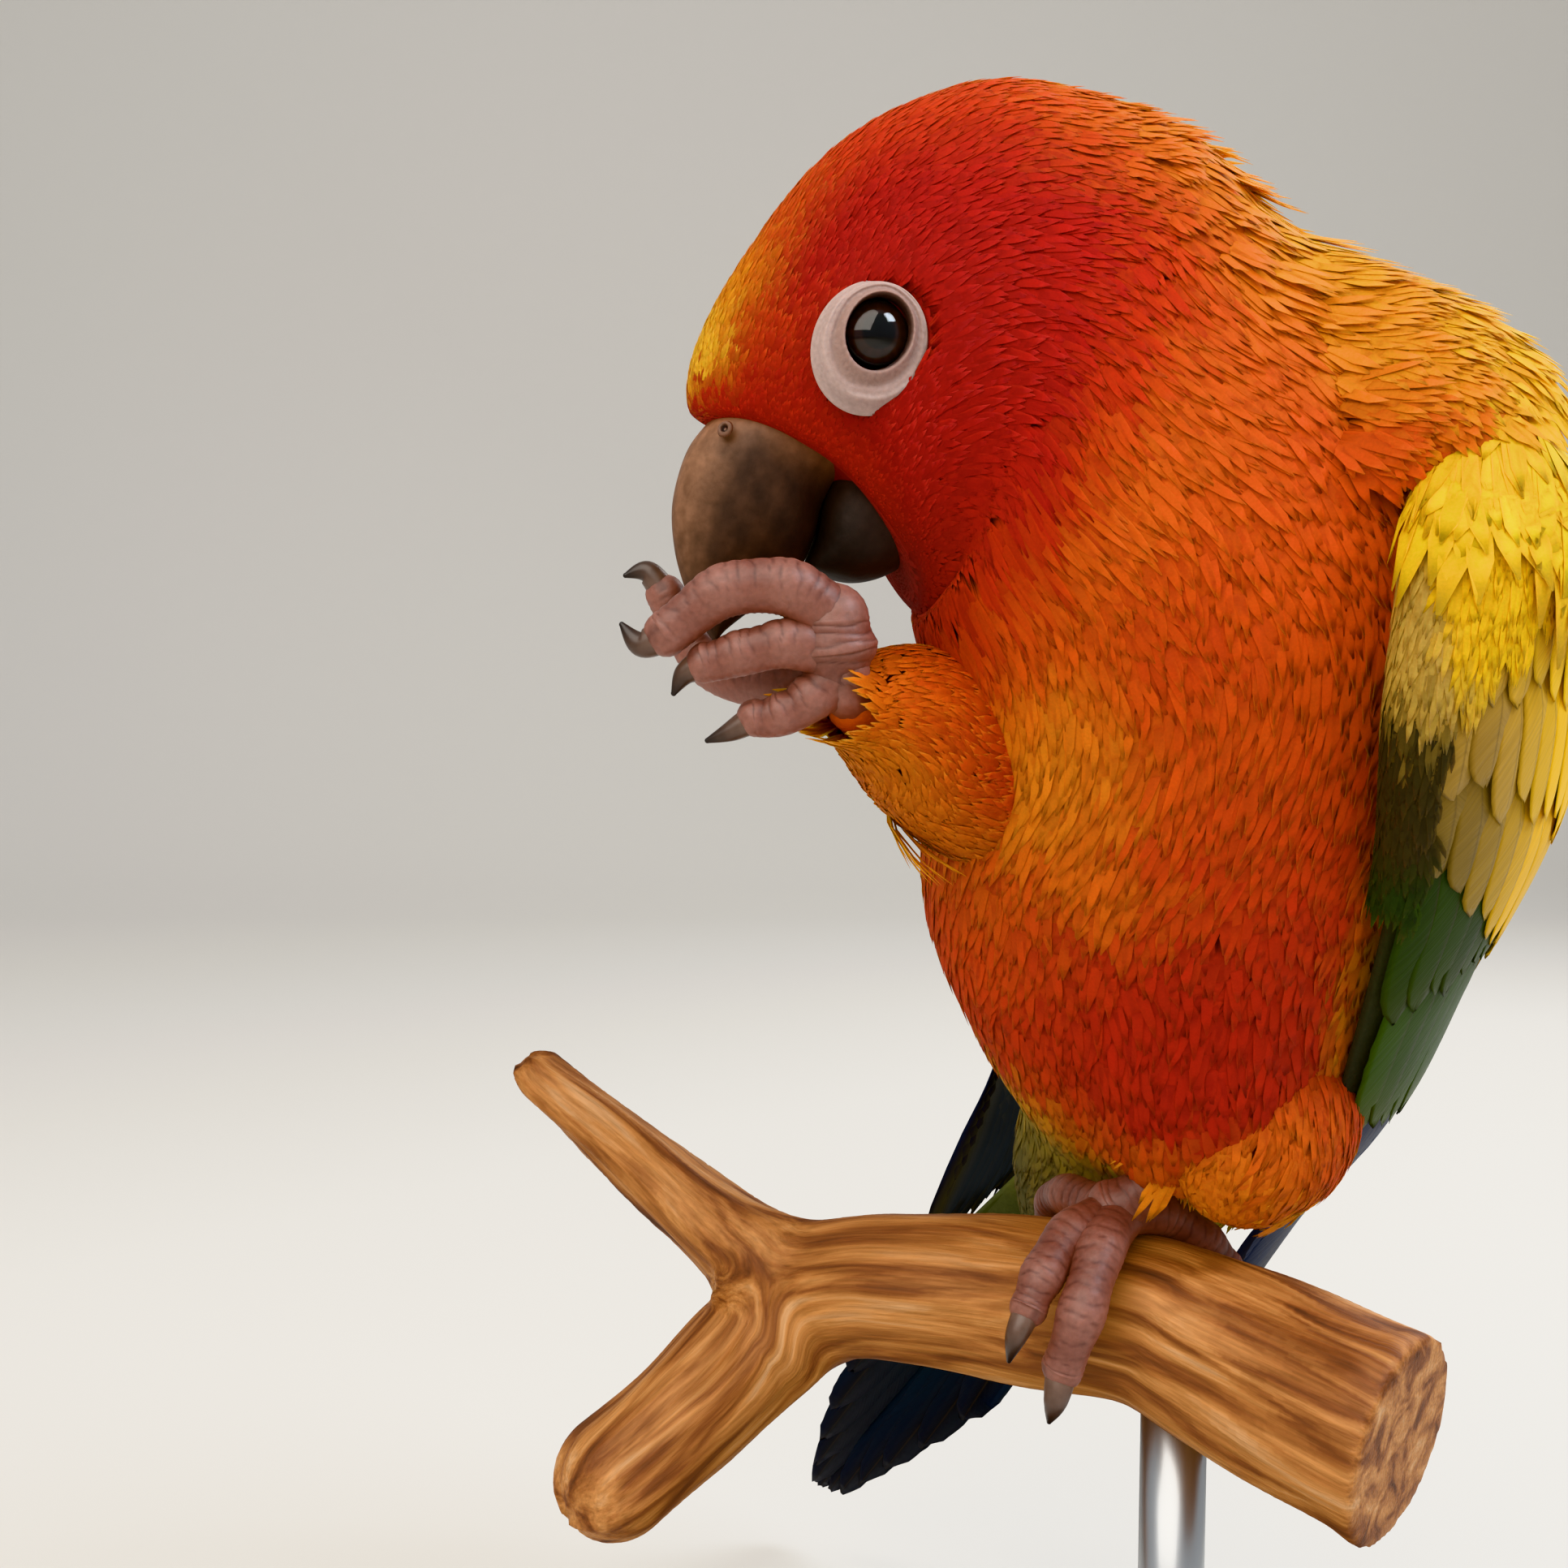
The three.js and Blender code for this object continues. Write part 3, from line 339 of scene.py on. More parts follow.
def marking(u, angle, points):
    """Plumage colour at a place on the body: back, side and belly ramps blended by the angle, with
    soft round patches laid over on both sides. tilt is 0 on the back and 1 on the belly."""
    tilt = np.abs((angle + np.pi) % TURN - np.pi) / np.pi
    head = ease(6.0, 3.4, u)
    back, side, belly = ramp(BACK_RAMP, u), ramp(SIDE_RAMP, u), ramp(BELLY_RAMP, u)
    colour = mix(back, side, ease(mix(0.12, 0.05, head), mix(0.4, 0.27, head), tilt)[..., None])
    colour = mix(colour, belly, ease(0.58, 0.88, tilt)[..., None])
    for place, degrees, radius, code, strength in PATCHES:
        for turn in (np.radians(degrees), -np.radians(degrees)):
            centre = body_surface(np.array(place), np.array(turn), 0.0)
            far = np.linalg.norm(points - centre, axis=-1) / radius
            colour = mix(colour, linear(code), (strength * ease(1.35, 0.35, far))[..., None])
    return colour


# Feathers of the coat: section, then length, width and depth of coat in mm
COAT = np.array([
    [0, 1.2, 0.8, 0.4],
    [0.6, 1.8, 1.0, 0.7],
    [2, 2.7, 1.25, 1.0],
    [4, 3.8, 1.6, 1.4],
    [6, 5.4, 2.2, 2.1],
    [8, 7.5, 3.0, 2.8],
    [10, 9.0, 3.6, 3.2],
    [13, 9.5, 3.8, 3.2],
    [16, 12, 4.2, 2.0],
])
COAT_OVERLAP = 6.5  # how many feathers lie over each spot of skin
LEAST_TRAVEL = 0.4  # mm a step at a pole, where feathers would otherwise run on without end
GOLDEN_STEPS = (0.7548776662, 0.5698402910)  # of the two-way golden sequence, whose points spread evenly


def coat_size(u):
    """Feather length, feather width and coat depth at a body section, in mm."""
    return [np.interp(u, COAT[:, 0], COAT[:, column]) for column in (1, 2, 3)]


def mm_per_step(surface, u, angle):
    """Millimetres travelled along a surface for one unit of u and one of angle."""
    here = surface(u, angle, 0 * u)
    along = np.linalg.norm(surface(u + STEP, angle, 0 * u) - here, axis=-1) / STEP
    around = np.linalg.norm(surface(u, angle + STEP, 0 * u) - here, axis=-1) / STEP
    return np.maximum(along, LEAST_TRAVEL), np.maximum(around, LEAST_TRAVEL)


def even(length, width, share=1.0):
    """Feathers per square mm, the same at every u, for feathers of one size."""
    return lambda u: share * COAT_OVERLAP / (length * width) + 0 * u


def scatter(surface, u_range, per_area, rows=160, columns=96):
    """Evenly spread places on a surface. A two-step golden sequence is bent so that each small
    field of the surface gets places in proportion to its area times per_area(u)."""
    u = np.linspace(*u_range, rows + 1)
    u_mid = (u[1:] + u[:-1]) / 2
    angle_mid = (np.arange(columns) + 0.5) * TURN / columns
    uu, aa = np.meshgrid(u_mid, angle_mid, indexing="ij")
    along, around = mm_per_step(surface, uu, aa)
    weight = along * around * per_area(uu) * (u[1] - u[0]) * TURN / columns
    count = int(weight.sum())
    order = np.arange(count) + 0.5
    first = (order * GOLDEN_STEPS[0]) % 1
    second = (order * GOLDEN_STEPS[1]) % 1
    by_row = np.concatenate([[0], weight.sum(1).cumsum()]) / weight.sum()
    place = np.interp(first, by_row, np.arange(rows + 1))
    row = np.minimum(place.astype(int), rows - 1)
    by_column = np.concatenate([np.zeros((rows, 1)), weight.cumsum(1)], 1) / weight.sum(1, keepdims=True)
    chosen = by_column[row]
    column = np.clip((chosen <= second[:, None]).sum(1) - 1, 0, columns - 1)
    low, high = chosen[order.astype(int), column], chosen[order.astype(int), column + 1]
    part = (second - low) / np.maximum(high - low, 1e-9)
    return u_range[0] + place * (u[1] - u[0]), (column + part) * TURN / columns


def feather_rings(rows, columns):
    """One feather's own grid: how far along each ring lies, the place across of each ring point
    (the columns on top, then one point beneath), and which points are beneath."""
    q = np.linspace(0, 1, rows)
    x = np.append(np.linspace(-1, 1, columns), 0)
    below = np.append(np.zeros(columns), 1)
    return q, x, below


def feather_faces(count, rows, ring):
    """Quads between the rings of every feather, and a face closing each root and tip."""
    quads = ring_faces(rows, ring)
    root = np.arange(ring)[::-1][None]
    tip = (rows - 1) * ring + np.arange(ring)[None]
    shift = (np.arange(count) * rows * ring)[:, None, None]
    blocks = (quads, np.concatenate([root, tip]))
    return [(block + shift).reshape(-1, block.shape[1])[:, ::-1] for block in blocks]


BARB_ROWS = np.array([[0, 0.7], [0.4, 1.0], [0.75, 0.8], [1, 0.1]])  # place along a barb and width there
BARB_CORNERS = np.array([-1.0, 1.0, 0.0])  # its two upper edges and the keel beneath
BARB_SIDES = len(BARB_CORNERS)
BARB_COVER = 1.5  # width of a barb, in distances between neighbouring barbs
KEEL_DEPTH = 0.35  # in half widths of a barb
OUTER_SHORTER = 0.24  # share by which a tuft's outermost barbs are shorter than its middle one
ROOT_WIDTH = 0.32  # spread of the barbs at their root, in feather widths
BARB_STRAY = 0.11  # sideways at the point, in feather widths
TUFT_STRAY = 0.11  # radians by which a tuft turns from the lie of its neighbours
TUFT_ARCH = 0.07  # height of the middle barb over the outer ones, in feather widths
BAKE_MARGIN = 0.01
BAKE_PATCH = 0.0015  # half the side of one barb's field in the coat's bake map


def turn_towards(surface, u, angle, direction):
    """The turn from tailwards that makes a feather point in a world direction."""
    here = surface(u, angle, 0 * u)
    along = unit(surface(u + STEP, angle, 0 * u) - here)
    around = unit(surface(u, angle + STEP, 0 * u) - here)
    return np.arctan2(around @ direction, along @ direction)


def upper_edge(a, b):
    """Whether an edge between two barb points is one of the barb's two upper edges."""
    return (a % BARB_SIDES == b % BARB_SIDES) & (a % BARB_SIDES < 2)


def coat_feathers(name, surface, u, angle, sizes, colour, rng, barbs=5, u_end=BODY_END, yaw=0.0,
                  stand=0.0):
    """A piece of coat. Each feather is a tuft of flat tapering barbs that fan out from one root and
    bend over the surface they grow on. The root lies on the skin, the barbs rise to the outline
    within half their length, lie close together so far, and part towards their points. The middle
    barbs are longest, and each strays a little. yaw turns a tuft from tailwards, stand lifts its
    tip in mm, and u_end is the surface's last section."""
    length, width, depth = (value + 0 * u for value in sizes)
    count = len(u)
    q, profile = BARB_ROWS[:, 0], BARB_ROWS[:, 1]
    x = np.linspace(-1, 1, barbs)
    shape = (count, barbs, 1, 1)
    own = length[:, None] * (1 - OUTER_SHORTER * x * x) * rng.uniform(0.8, 1.1, (count, barbs))
    reach = own.reshape(shape) * q[:, None] * np.ones(BARB_SIDES)
    fan = mix(ROOT_WIDTH, 1.0, ease(0, 0.85, q))[:, None]
    spread = (width[:, None] / 2 * x).reshape(shape) * fan
    stray = (width[:, None] * rng.normal(0, BARB_STRAY, (count, barbs))).reshape(shape) * (q**2)[:, None]
    half = (width * BARB_COVER / (2 * (barbs - 1))).reshape(-1, 1, 1, 1) * profile[:, None]
    across = spread + stray + half * BARB_CORNERS
    keel = KEEL_DEPTH * half * (BARB_CORNERS == 0)
    arch = (TUFT_ARCH * width[:, None] * (1 - x * x)).reshape(shape)
    below = (0.94 * (1 - ease(0, 0.45, q)) + 0.06 * (1 - q))[:, None]
    loose = depth[:, None] * rng.uniform(-0.14, 0.1, (count, barbs)) + np.reshape(stand, (-1, 1))
    lift = arch - keel - depth.reshape(-1, 1, 1, 1) * below + loose.reshape(shape) * (q**1.5)[:, None]
    along_mm, around_mm = mm_per_step(surface, u, angle)
    turned = (yaw + rng.normal(0, TUFT_STRAY, count) + 0 * u).reshape(-1, 1, 1, 1)
    du = (reach * np.cos(turned) - across * np.sin(turned)) / along_mm.reshape(-1, 1, 1, 1)
    da = (reach * np.sin(turned) + across * np.cos(turned)) / around_mm.reshape(-1, 1, 1, 1)
    points = surface(u.reshape(-1, 1, 1, 1) + du, angle.reshape(-1, 1, 1, 1) + da, lift + 0 * du)
    # Painted shade: each barb darker towards its root, where the feathers lying over it shade it.
    shade = mix(0.88, 1.02, ease(0.0, 0.6, q))[None, None, :, None, None]
    tint = rng.normal(1, 0.04, (count, 1, 1, 1, 1)) * rng.normal(1, 0.03, (count, barbs, 1, 1, 1))
    corners = np.ones((1, 1, 1, BARB_SIDES, 1))
    paint = np.clip(colour[:, None, None, None, :] * shade * tint * corners, 0, 1)
    place = np.stack([(angle / TURN) % 1, np.clip(u / u_end, 0, 1)], -1)
    root = place * (1 - 2 * BAKE_MARGIN) + BAKE_MARGIN
    patch = np.stack(np.broadcast_arrays(x.reshape(1, -1, 1, 1), 2 * q[:, None] - 1 + 0 * lift), -1)
    bake = root[:, None, None, None, :] + BAKE_PATCH * patch
    faces = feather_faces(count * barbs, len(q), BARB_SIDES)
    return build_mesh(name, points, faces, CONTOUR, paint, {"OFBake": bake}, upper_edge)


# Eyes: place in the head's middle plane, and the bare ring's half axes
EYE_PLACE = np.array([-0.7, 1.1])
EYE_OUT = 12.4
EYE_RADIUS = 4.6
BALL_SIZE, CORNEA_BACK = 0.94, 0.955  # radii of the ball and the cornea's inner face, in eye radii
PUPIL_EDGE, IRIS_EDGE = (1.75, 1.95), (3.3, 3.0)  # mm from the eye's axis over which each fades
LID_EDGE = 0.7  # share of the bare ring's section that lies in front of the lid's edge
RING_PLACE = np.array([0.2, 0.1])
RING_OUT = 15.6
RING_OUTER = np.array([6.6, 5.8])
RING_INNER = np.array([3.8, 3.2])
RING_TILT = -0.66
FAR_FROM_RING = 9
ROOTS_FROM, TIPS_FROM = 0.92, 0.93  # ring distances outside which feathers grow, and lay their tips
LEAST_FEATHER = 0.7  # mm


def ring_distance(points):
    """How far a point lies from the eye ring's middle, 1 on its outer edge. Points within 6 mm of
    the head's middle plane count as far from both rings."""
    offset = points - HEAD_ORIGIN
    f = offset @ HEAD_FORWARD - RING_PLACE[0]
    up = offset @ HEAD_UP - RING_PLACE[1]
    along = (f * np.cos(RING_TILT) + up * np.sin(RING_TILT)) / RING_OUTER[0]
    aside = (up * np.cos(RING_TILT) - f * np.sin(RING_TILT)) / RING_OUTER[1]
    distance = np.hypot(along, aside)
    return np.where(np.abs(offset @ HEAD_LEFT) > 6, distance, FAR_FROM_RING)


def coat_depth(u, angle):
    """Depth of coat in mm, less round the bare ring and where the throat's sections crowd together."""
    near_ring = mix(0.3, 1.0, ease(0.97, 1.6, ring_distance(body_surface(u, angle, 0 * u))))
    crowded = mix(0.35, 1.0, ease(2, 8, mm_per_step(body_surface, u, angle)[0]))
    return coat_size(u)[2] * near_ring * crowded


def clear_of_eye(u, angle, length):
    """Feather lengths cut so that no tip lies on the bare ring, and which roots lie outside it. Where
    the sections crowd together at the throat, they are cut to what the surface can carry."""
    along, _ = mm_per_step(body_surface, u, angle)
    length = np.minimum(length, 1.8 * along)
    kept = np.zeros(len(u))
    for share in (0.3, 0.45, 0.6, 0.8, 1.0):
        tip = body_surface(u + share * length / along, angle, 0 * u)
        middle = body_surface(u + 0.5 * share * length / along, angle, 0 * u)
        free = (ring_distance(tip) > TIPS_FROM) & (ring_distance(middle) > TIPS_FROM)
        kept = np.where(free, share, kept)
    outside = ring_distance(body_surface(u, angle, 0 * u)) > ROOTS_FROM
    return length * kept, outside & (kept > 0) & (length > LEAST_FEATHER)


# Materials
def new_material(name):
    """An empty node tree with the main shader joined to its output."""
    material = bpy.data.materials.new(name)
    material.use_nodes = True
    tree = material.node_tree
    shader = tree.nodes["Principled BSDF"]
    return material, tree, shader


def add(tree, kind, values=None, links=None, **settings):
    """Adds one node: settings are its own properties, values its sockets' numbers, links its inputs."""
    node = tree.nodes.new("ShaderNode" + kind)
    for key, value in settings.items():
        setattr(node, key, value)
    for key, value in (values or {}).items():
        node.inputs[key].default_value = value
    for key, socket in (links or {}).items():
        tree.links.new(socket, node.inputs[key])
    return node


def set_shader(tree, shader, values, links=None):
    """Numbers and links of the main shader."""
    for key, value in values.items():
        shader.inputs[key].default_value = value
    for key, socket in (links or {}).items():
        tree.links.new(socket, shader.inputs[key])


def mottled(tree, colour, noise, low, high):
    """The colour times a factor that goes from low to high as the noise goes from 0.3 to 0.7."""
    factor = add(tree, "MapRange", {"From Min": 0.3, "From Max": 0.7, "To Min": low, "To Max": high},
                 {"Value": noise.outputs["Fac"]})
    scaled = add(tree, "VectorMath", links={0: colour, "Scale": factor.outputs[0]}, operation="SCALE")
    return scaled.outputs[0]


VANE_STEP = 3  # from one vane to the next in the map that holds each place on its vane
BARB_STREAKS = 46.0  # noise cells along a vane
BARB_SLANT = 7.0  # how far along the vane, in the same cells, a barb runs from the rib to the edge
STREAKS_ACROSS = 0.4
RIB_WIDTH, RIB_STRENGTH = 0.07, 0.4


def feather_material(name):
    """Feather keratin. Fine barbs run from the rib to the edges and break the colour into streaks,
    the rib is a thin dark line, and the sheen is the soft light that barbule tips catch. Each vane's
    own place across runs from -1 to 1, and is wrapped because the vanes lie 3 apart in the map."""
    material, tree, shader = new_material(name)
    marking_node = add(tree, "VertexColor", layer_name="Marking")
    place = add(tree, "UVMap", uv_map="Vane")
    axes = add(tree, "SeparateXYZ", links={0: place.outputs[0]})
    wrapped = add(tree, "Math", {1: VANE_STEP / 2, 2: -VANE_STEP / 2}, {0: axes.outputs[0]}, operation="WRAP")
    side = add(tree, "Math", links={0: wrapped.outputs[0]}, operation="ABSOLUTE")
    slant = add(tree, "Math", {1: BARB_SLANT}, {0: side.outputs[0]}, operation="MULTIPLY")
    run = add(tree, "Math", {1: BARB_STREAKS}, {0: axes.outputs[1]}, operation="MULTIPLY")
    barb = add(tree, "Math", links={0: run.outputs[0], 1: slant.outputs[0]}, operation="SUBTRACT")
    across = add(tree, "Math", {1: STREAKS_ACROSS}, {0: axes.outputs[0]}, operation="MULTIPLY")
    where = add(tree, "CombineXYZ", links={0: barb.outputs[0], 1: across.outputs[0]})
    noise = add(tree, "TexNoise", {"Scale": 1.0, "Detail": 2.0, "Roughness": 0.6},
                {"Vector": where.outputs[0]})
    toned = mottled(tree, marking_node.outputs[0], noise, 0.88, 1.12)
    rib = add(tree, "MapRange",
              {"From Min": 0.0, "From Max": RIB_WIDTH, "To Min": RIB_STRENGTH, "To Max": 0.0},
              {"Value": side.outputs[0]})
    ribbed = add(tree, "Mix", {"B": (0.05, 0.035, 0.02, 1)}, {"Factor": rib.outputs[0], "A": toned},
                 data_type="RGBA")
    bump = add(tree, "Bump", {"Strength": 0.35, "Distance": 0.0002}, {"Height": noise.outputs["Fac"]})
    set_shader(tree, shader,
               {"Roughness": 0.52, "Specular IOR Level": 0.14, "IOR": 1.54, "Sheen Weight": 0.05,
                "Sheen Roughness": 0.45},
               {"Base Color": ribbed.outputs["Result"], "Normal": bump.outputs[0]})
    return material


def plain_marked(name, roughness, bump_mm, grain_mm, values=None, tone=0.12):
    """A surface coloured by its marking, mottled by the share tone and roughened by bumps of
    bump_mm, both with a noise of the given grain."""
    material, tree, shader = new_material(name)
    marking_node = add(tree, "VertexColor", layer_name="Marking")
    place = add(tree, "TexCoord")
    noise = add(tree, "TexNoise", {"Scale": 1000 / grain_mm, "Detail": 4.0},
                {"Vector": place.outputs["Object"]})
    toned = mottled(tree, marking_node.outputs[0], noise, 1 - tone, 1 + tone)
    bump = add(tree, "Bump", {"Strength": 0.6, "Distance": bump_mm * MM},
               {"Height": noise.outputs["Fac"]})
    set_shader(tree, shader, {"Roughness": roughness, **(values or {})},
               {"Base Color": toned, "Normal": bump.outputs[0]})
    return material


def eye_glass():
    """The wet clear cornea: water-like gloss that carries the highlight."""
    material, tree, shader = new_material("clear cornea")
    set_shader(tree, shader, {"Base Color": (1, 1, 1, 1), "Roughness": 0.02, "IOR": 1.376,
                              "Transmission Weight": 1.0})
    return material


def wood_material():
    """Bare weathered hardwood, sanded by use: pale tan with brown bands that follow the grain."""
    material, tree, shader = new_material("bare weathered hardwood")
    grain = add(tree, "Attribute", attribute_name="Grain", attribute_type="GEOMETRY")
    stretch = add(tree, "Mapping", {"Scale": (0.035, 0.28, 0.28)}, {"Vector": grain.outputs["Vector"]})
    band = add(tree, "TexNoise", {"Scale": 1.0, "Detail": 5.0, "Distortion": 0.8},
               {"Vector": stretch.outputs[0]})
    fine_place = add(tree, "Mapping", {"Scale": (0.12, 2.2, 2.2)}, {"Vector": grain.outputs["Vector"]})
    fine = add(tree, "TexNoise", {"Scale": 1.0, "Detail": 6.0}, {"Vector": fine_place.outputs[0]})
    tones = add(tree, "ValToRGB", links={"Fac": band.outputs["Fac"]})
    stops = [(0.28, "#4e2e1c"), (0.4, "#7a4828"), (0.5, "#a0693c"), (0.6, "#b8804c"), (0.75, "#c89c70")]
    while len(tones.color_ramp.elements) < len(stops):
        tones.color_ramp.elements.new(0.5)
    for element, (spot, code) in zip(tones.color_ramp.elements, stops):
        element.position = spot
        element.color = (*linear(code), 1)
    toned = mottled(tree, tones.outputs[0], fine, 0.72, 1.12)
    bump = add(tree, "Bump", {"Strength": 0.5, "Distance": 0.0004}, {"Height": fine.outputs["Fac"]})
    set_shader(tree, shader, {"Roughness": 0.6, "Specular IOR Level": 0.35},
               {"Base Color": toned, "Normal": bump.outputs[0]})
    return material


def stand_material(name, colour, metallic, roughness, stretch):
    """Machined metal or moulded plastic: one colour with a fine noise, drawn out by stretch, in its
    roughness and bump."""
    material, tree, shader = new_material(name)
    place = add(tree, "TexCoord")
    along = add(tree, "Mapping", {"Scale": stretch}, {"Vector": place.outputs["Object"]})
    noise = add(tree, "TexNoise", {"Scale": 1000.0, "Detail": 3.0}, {"Vector": along.outputs[0]})
    rough = add(tree, "MapRange", {"To Min": roughness - 0.08, "To Max": roughness + 0.08},
                {"Value": noise.outputs["Fac"]})
    bump = add(tree, "Bump", {"Strength": 0.2, "Distance": 0.00005}, {"Height": noise.outputs["Fac"]})
    set_shader(tree, shader, {"Base Color": (*linear(colour), 1), "Metallic": metallic},
               {"Roughness": rough.outputs[0], "Normal": bump.outputs[0]})
    return material


CONTOUR = plain_marked("contour feather keratin", 0.75, 0.02, 0.3,
                       {"Specular IOR Level": 0.22, "Subsurface Weight": 0.42, "Subsurface Scale": 1.0,
                        "Subsurface Radius": (0.002, 0.0011, 0.0006)}, 0.08)
QUILL = feather_material("flight feather keratin")
DOWN = plain_marked("down over skin", 0.9, 0.3, 0.8)
HORN = plain_marked("bill horn", 0.58, 0.12, 1.1, {"IOR": 1.54, "Specular IOR Level": 0.3}, 0.22)
CLAW = plain_marked("claw horn", 0.38, 0.04, 0.9, {"IOR": 1.54})
FLESHY = {"Subsurface Weight": 0.3, "Subsurface Scale": 1.0, "Subsurface Radius": (0.0012, 0.0006, 0.0004)}
BARE_SKIN = plain_marked("bare wrinkled skin", 0.62, 0.12, 0.45, FLESHY, 0.1)
SCALES = plain_marked("scaly foot skin", 0.5, 0.1, 0.7, FLESHY, 0.14)
IRIS = plain_marked("iris and pupil", 0.6, 0.02, 0.3, {"Specular IOR Level": 0.1})
CORNEA = eye_glass()
WOOD = wood_material()
STEEL = stand_material("satin stainless steel", "#b9bcbf", 1.0, 0.34, (1, 1, 0.02))
PLASTIC = stand_material("satin moulded plastic", "#17171a", 0.0, 0.45, (1, 1, 1))


def placed(piece, slot, *nodes):
    """Attaches a finished piece to the one body, so that it rides on it, and hides the nodes it stands for.
    slot is not used.
    """
    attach(piece, "root")
    if nodes:
        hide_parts(*nodes)
    return piece


# Legs and feet: paths of centre and radius, from the body outwards
LEFT_THIGH = [[18, 6, 128, 9], [13, -15, 119.4, 13.6], [8, -21.2, 114.4, 11.4], [3, -20.5, 111.5, 5.2]]
RIGHT_THIGH = [[-8, -14, 152, 9], [-22, -25, 160, 10.5], [-31, -33, 166, 9], [-37.5, -40, 168, 4.6]]
LEFT_SHANK = [[5, -20, 114, 2.6], [0, -20.5, 109.5, 2.4], [-4, -19.5, 106, 3.6]]
RIGHT_SHANK = [
    [-35, -38, 167, 2.6], [-38.6, -42, 169.6, 2.5], [-39.6, -42.6, 174, 4.4], [-39.8, -43, 177.4, 3.6],
]
LEFT_TOES = [
    [[-4, -19.5, 105, 3.1], [-7.5, -26.5, 103, 2.8], [-10.6, -31.5, 97.5, 2.7], [-12.7, -31.4, 91, 2.3]],
    [[-5, -19.5, 105, 3], [-10.5, -23.5, 104, 2.7], [-14.6, -28, 100.6, 2.5], [-16.4, -29.6, 97.4, 2.1]],
    [[-3.5, -18.5, 105, 3], [2.5, -15.5, 103.8, 2.7], [8, -14.6, 100, 2.5], [11, -14, 96.5, 2.1]],
    [[-5, -17.5, 105, 3], [-8, -9, 104, 2.6], [-9, -3, 101, 2.4], [-9, 0.6, 96.4, 2]],
]
LEFT_CLAWS = [
    [[-12.7, -31.4, 91, 1.9], [-13.6, -32.4, 87.6, 1.4], [-14, -30.6, 84.2, 0.3]],
    [[-16.4, -29.6, 97.4, 1.7], [-18, -30.8, 94.6, 1.3], [-18.6, -29.4, 91, 0.3]],
    [[11, -14, 96.5, 1.7], [13, -12.8, 93.6, 1.3], [13.4, -12.4, 90, 0.3]],
    [[-9, 0.6, 96.4, 1.7], [-9.2, 2.4, 92.6, 1.3], [-9.2, 1.6, 89, 0.3]],
]
RIGHT_TOES = [
    [[-39.4, -43.2, 177, 3.2], [-44.6, -44.6, 180.4, 2.9],
     [-51.4, -44.4, 180, 2.7], [-57.4, -43.8, 175.6, 2.3]],
    [[-39.4, -42, 174, 3], [-45.6, -36.6, 170.4, 2.6],
     [-53.6, -29.6, 172.6, 2.5], [-58.6, -28.4, 180.6, 2.1]],
    [[-39.4, -43.4, 174, 3], [-45, -44.4, 174.6, 2.5],
     [-49.6, -44.2, 173.6, 2.3], [-53.4, -43.8, 172.6, 2]],
    [[-39, -42.6, 171.6, 3], [-42.4, -43.2, 168.8, 2.4],
     [-45.4, -43.2, 167.2, 2.2], [-48.1, -43, 166.8, 1.9]],
]
RIGHT_CLAWS = [
    [[-57.4, -43.8, 175.6, 1.9], [-60, -43.6, 174.6, 1.4], [-62, -43.4, 176.6, 0.3]],
    [[-58.6, -28.4, 180.6, 1.7], [-60.6, -28.6, 183, 1.3], [-63, -29, 182.6, 0.3]],
    [[-53.4, -43.8, 172.6, 1.7], [-55.4, -43.6, 171.4, 1.2], [-56.6, -43.4, 169.4, 0.3]],
    [[-48.1, -43, 166.8, 1.6], [-50.6, -42.8, 165.4, 1.1], [-53.1, -42.6, 164.4, 0.3]],
]
LEFT_TOE_UP = np.array([-0.35, -0.75, 0.55])  # the way the toes' upper sides face
RIGHT_TOE_UP = np.array([0.0, -0.35, 0.94])
SCUTE = 1.3  # mm from one cross scale of a toe to the next


def path_length(path):
    """Length of the smooth curve through a path, in mm."""
    spots = smooth(path, np.linspace(0, len(path) - 1, 60))[:, :3]
    return np.linalg.norm(np.diff(spots, axis=0), axis=1).sum()


def scute(u, angle, scales):
    """Height of the cross scales, 0 in the grooves and 1 on the scales: a sine hump whose phase
    strays with the turn, so that the grooves are bent and uneven."""
    run = scales * u
    phase = run + 0.16 * np.sin(2 * angle + 2.1 * run) + 0.1 * np.sin(5 * angle + 1.3 * run)
    return np.abs(np.sin(np.pi * phase)) ** 0.5


def scaly_tube(path, upward, rows=84, count=30):
    """A toe or shank: low cross scales along its upper side, soft pads beneath, small scales
    between, and a swelling at every joint."""
    path = np.asarray(path, float)
    last = len(path) - 1
    scales = path_length(path) / SCUTE / last

    def shape(u, angle):
        upper = ease(-0.2, 0.8, np.cos(angle))
        pads = ease(0.2, 0.9, -np.cos(angle)) * 0.28 * np.sin(np.pi * u / last * 3) ** 2
        small = 0.06 * np.sin(TURN * scales * u * 1.3) * np.sin(7 * angle)
        cross = upper * (scute(u, angle, scales) - 0.6) * 0.15
        return cross + pads + (1 - upper) * small + 0.14 * np.cos(TURN * u)

    points = round_tube(path, upward, rows, count, 0.0, shape)
    ends = np.zeros(CAP_RINGS)
    u = np.concatenate([ends, np.linspace(0, last, rows), ends + last])[:, None]
    angle = (np.arange(count) * TURN / count)[None, :]
    upper = ease(-0.2, 0.8, np.cos(angle)) * np.ones_like(u)
    # Painted shade: the grooves between the cross scales darker on the upper side.
    groove_shade = ease(0.75, 0.2, scute(u, angle, scales))
    base = mix(linear("#86564a"), linear("#744a40"), upper[..., None])
    joint = 0.5 + 0.5 * np.cos(TURN * u) * np.ones_like(angle)
    base = mix(base, linear("#93665a"), (0.5 * joint)[..., None])
    colour = mix(base, linear("#3f2320"), (0.55 * upper * groove_shade)[..., None])
    flat, faces = closed_tube(points)
    return flat, faces, capped(colour)


